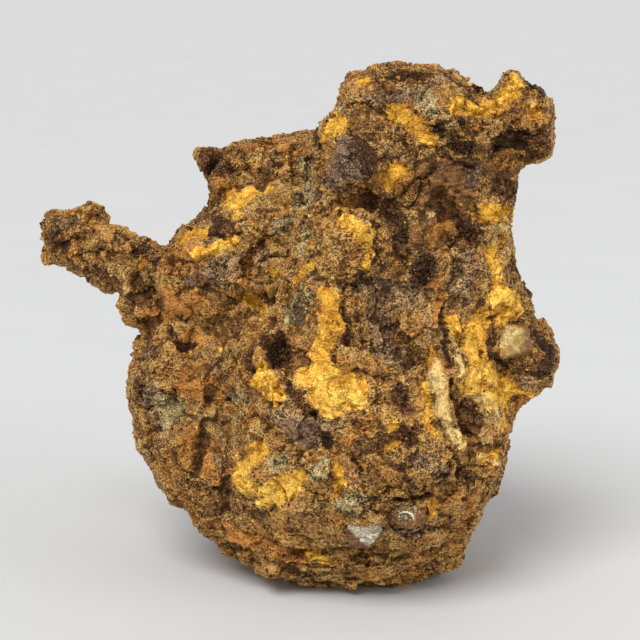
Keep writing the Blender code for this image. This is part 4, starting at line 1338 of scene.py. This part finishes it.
def crazed_material():
    """White cleaved olivine, crazed and flaky."""
    sheet = Sheet("crazed olivine")
    place = sheet.place()
    stretched = sheet.vector("MULTIPLY", place, (1.0, 1.0, 2.2))
    flake = sheet.cells(stretched, 1.1, "Color")
    split = sheet.between(sheet.cells(stretched, 0.8, "Distance", "DISTANCE_TO_EDGE"), 0.0, 0.09)
    stops = ((0.1, linear(120, 96, 66)), (0.4, linear(190, 176, 148)), (1.0, linear(244, 238, 218)))
    pale = sheet.ramp(sheet.split(flake, "Red") * 0.7 + sheet.noise(place, 0.6, 3.0) * 0.5, stops)
    rust = sheet.between(sheet.noise(place, 1.5, 3.0), 0.56, 0.66) * 0.5
    colour = sheet.mix(split * 0.6 + 0.4, linear(128, 92, 54), pale)
    colour = sheet.mix(rust, colour, linear(150, 104, 56))
    outside = None
    for outward, reach in CHIP_EDGES:
        beyond = sheet.vector("DOT_PRODUCT", place, outward, output="Value") - reach
        outside = outside.math("MAXIMUM", outside, beyond) if outside else beyond
    ragged = outside + (sheet.noise(place, 0.8, 3.0) - 0.5) * 1.6
    fleck = sheet.split(sheet.cells(place, FLECK, "Color"), "Red")
    covered = sheet.ramp(fleck, grain_colours(linear(122, 82, 38), 0.25, 2.2))
    colour = sheet.mix(sheet.between(ragged, -0.1, 0.3), colour, covered)
    height = sheet.split(flake, "Green") * 0.25 + split * 0.12
    bump = sheet.node("ShaderNodeBump", {}, {"Height": height, "Distance": MM})
    return sheet.finish(Base_Color=colour, Roughness=0.42, Normal=bump)


def glint_mesh(lens):
    """A thin curved pale ridge along the lens's edge, a painted highlight."""
    rays = PhotoRays(lens)
    spine = [rays.point(x, y) for x, y, _ in GLINT]
    sides = GLINT_SIDES
    rings = []
    for index, (_, _, width) in enumerate(GLINT):
        along = Vector(spine[min(index + 1, len(spine) - 1)] - spine[max(index - 1, 0)]).normalized()
        across = along.cross(Vector((0, 1, 0))).normalized()
        out = across.cross(along)
        for side in range(sides):
            turn = 2 * math.pi * side / sides
            spoke = across * math.cos(turn) + out * math.sin(turn)
            rings.append(spine[index] + np.array(spoke) * width * PIXEL)
    triangles = []
    for ring in range(len(GLINT) - 1):
        for side in range(sides):
            first, second = ring * sides + side, ring * sides + (side + 1) % sides
            triangles += [(first, second, first + sides), (second, second + sides, first + sides)]
    last = (len(GLINT) - 1) * sides
    for side in range(1, sides - 1):
        triangles += [(0, side + 1, side), (last, last + side, last + side + 1)]
    return mesh_of("glint", np.array(rings), np.array(triangles))


class METEORITE_OT_crystals(bpy.types.Operator):
    """Builds the three olivine crystals that show in the rust, and a pale ridge on the lens that is a painted
    highlight
    """

    bl_idname = "meteorite.crystals"
    bl_label = "Olivine crystals"

    def execute(self, context):
        forms = {
            "olivine_crystal_right": ("olivine_glassy", glassy_material(), "olivine", 1.1, 0.25),
            "olivine_lens_front": ("olivine_lens", lens_material(), "olivine", 0.6, 0.5),
            "olivine_chip_front": ("olivine_chip", crazed_material(), "olivine_chip", 0.25, 0.3),
        }
        for node, (name, material, slot, bevel, rough) in forms.items():
            shown_piece(name, crystal_mesh(node, bevel, rough), material, slot, node)
        # The ridge's pale colour is a painted highlight along the lens's edge
        sheet = Sheet("painted glint")
        stops = ((0.4, linear(214, 206, 172)), (0.7, linear(246, 242, 224)))
        pale = sheet.ramp(sheet.noise(sheet.place(), 0.5), stops)
        glint = glint_mesh(bpy.data.objects["olivine_lens"].data)
        smooth_shaded(glint)
        shown_piece("painted_glint", glint, sheet.finish(Base_Color=pale, Roughness=0.2), "olivine")
        return {"FINISHED"}


def add_light(name, kind, energy, place, aim, **settings):
    light = bpy.data.lights.new(name, kind)
    light.energy = energy
    for key, value in settings.items():
        setattr(light, key, value)
    obj = bpy.data.objects.new(name, light)
    bpy.context.scene.collection.objects.link(obj)
    obj.location = place
    obj.rotation_euler = (Vector(aim) - Vector(place)).to_track_quat("-Z", "Y").to_euler()


class METEORITE_OT_stage(bpy.types.Operator):
    """Sets the floor, the lights and the camera at the photograph's angle"""

    bl_idname = "meteorite.stage"
    bl_label = "Stage"

    def execute(self, context):
        stage = context.scene.meteorite_stage
        bm = bmesh.new()
        bmesh.ops.create_circle(bm, cap_ends=True, radius=FLOOR_RADIUS, segments=96)
        mesh = bpy.data.meshes.new("floor")
        bm.to_mesh(mesh)
        bm.free()
        sheet = Sheet("floor")
        cloudy = sheet.noise(sheet.place(), 60.0, 2.0)
        tone = sheet.ramp(cloudy, ((0.3, shade(stage.floor, 0.97)), (0.7, tuple(stage.floor))))
        mesh.materials.append(sheet.finish(Base_Color=tone, Roughness=0.6))
        floor = bpy.data.objects.new("floor", mesh)
        context.scene.collection.objects.link(floor)
        aim = Vector(VIEW_AIM) * MM
        add_light("key", "SUN", stage.key_strength, KEY_PLACE, aim, angle=math.radians(KEY_SPREAD))
        add_light("fill", "AREA", stage.fill_power, FILL_PLACE, aim, shape="DISK", size=FILL_WIDTH)
        world = bpy.data.worlds.new("studio")
        world.use_nodes = True
        context.scene.world = world
        air = world.node_tree.nodes["Background"]
        air.inputs["Color"].default_value = (1.0, 0.98, 0.95, 1.0)
        air.inputs["Strength"].default_value = stage.air
        context.scene.view_settings.view_transform = "Standard"
        eye, back = camera_place()
        camera = bpy.data.cameras.new("camera")
        camera.sensor_width = SENSOR
        camera.lens = SENSOR * VIEW_DISTANCE / VIEW_WIDTH
        camera.clip_start = 0.01
        obj = bpy.data.objects.new("camera", camera)
        context.scene.collection.objects.link(obj)
        obj.location = eye * MM
        obj.rotation_euler = back.to_track_quat("Z", "Y").to_euler()
        context.scene.camera = obj
        return {"FINISHED"}


class METEORITE_PT_panel(bpy.types.Panel):
    """The steps that build the looks, in order"""

    bl_label = "Meteorite"
    bl_space_type = "VIEW_3D"
    bl_region_type = "UI"
    bl_category = "Meteorite"

    def draw(self, context):
        for operator in OPERATORS:
            self.layout.operator(operator.bl_idname)
        for name, kind in GROUPS.items():
            box = self.layout.box()
            for setting in kind.__annotations__:
                box.prop(getattr(context.scene, name), setting)


GROUPS = {
    "meteorite_sizes": MeteoriteSizes,
    "meteorite_colours": MeteoriteColours,
    "meteorite_stage": MeteoriteStage,
}
OPERATORS = (METEORITE_OT_mass, METEORITE_OT_grains, METEORITE_OT_crystals, METEORITE_OT_stage)


def register():
    for name, group in GROUPS.items():
        bpy.utils.register_class(group)
        setattr(bpy.types.Scene, name, bpy.props.PointerProperty(type=group))
    for operator in OPERATORS:
        bpy.utils.register_class(operator)
    bpy.utils.register_class(METEORITE_PT_panel)


def unregister():
    bpy.utils.unregister_class(METEORITE_PT_panel)
    for operator in reversed(OPERATORS):
        bpy.utils.unregister_class(operator)
    for name, group in GROUPS.items():
        delattr(bpy.types.Scene, name)
        bpy.utils.unregister_class(group)


def main():
    register()
    bpy.ops.meteorite.mass()
    bpy.ops.meteorite.grains()
    bpy.ops.meteorite.crystals()
    bpy.ops.meteorite.stage()


if __name__ == "__main__":
    main()
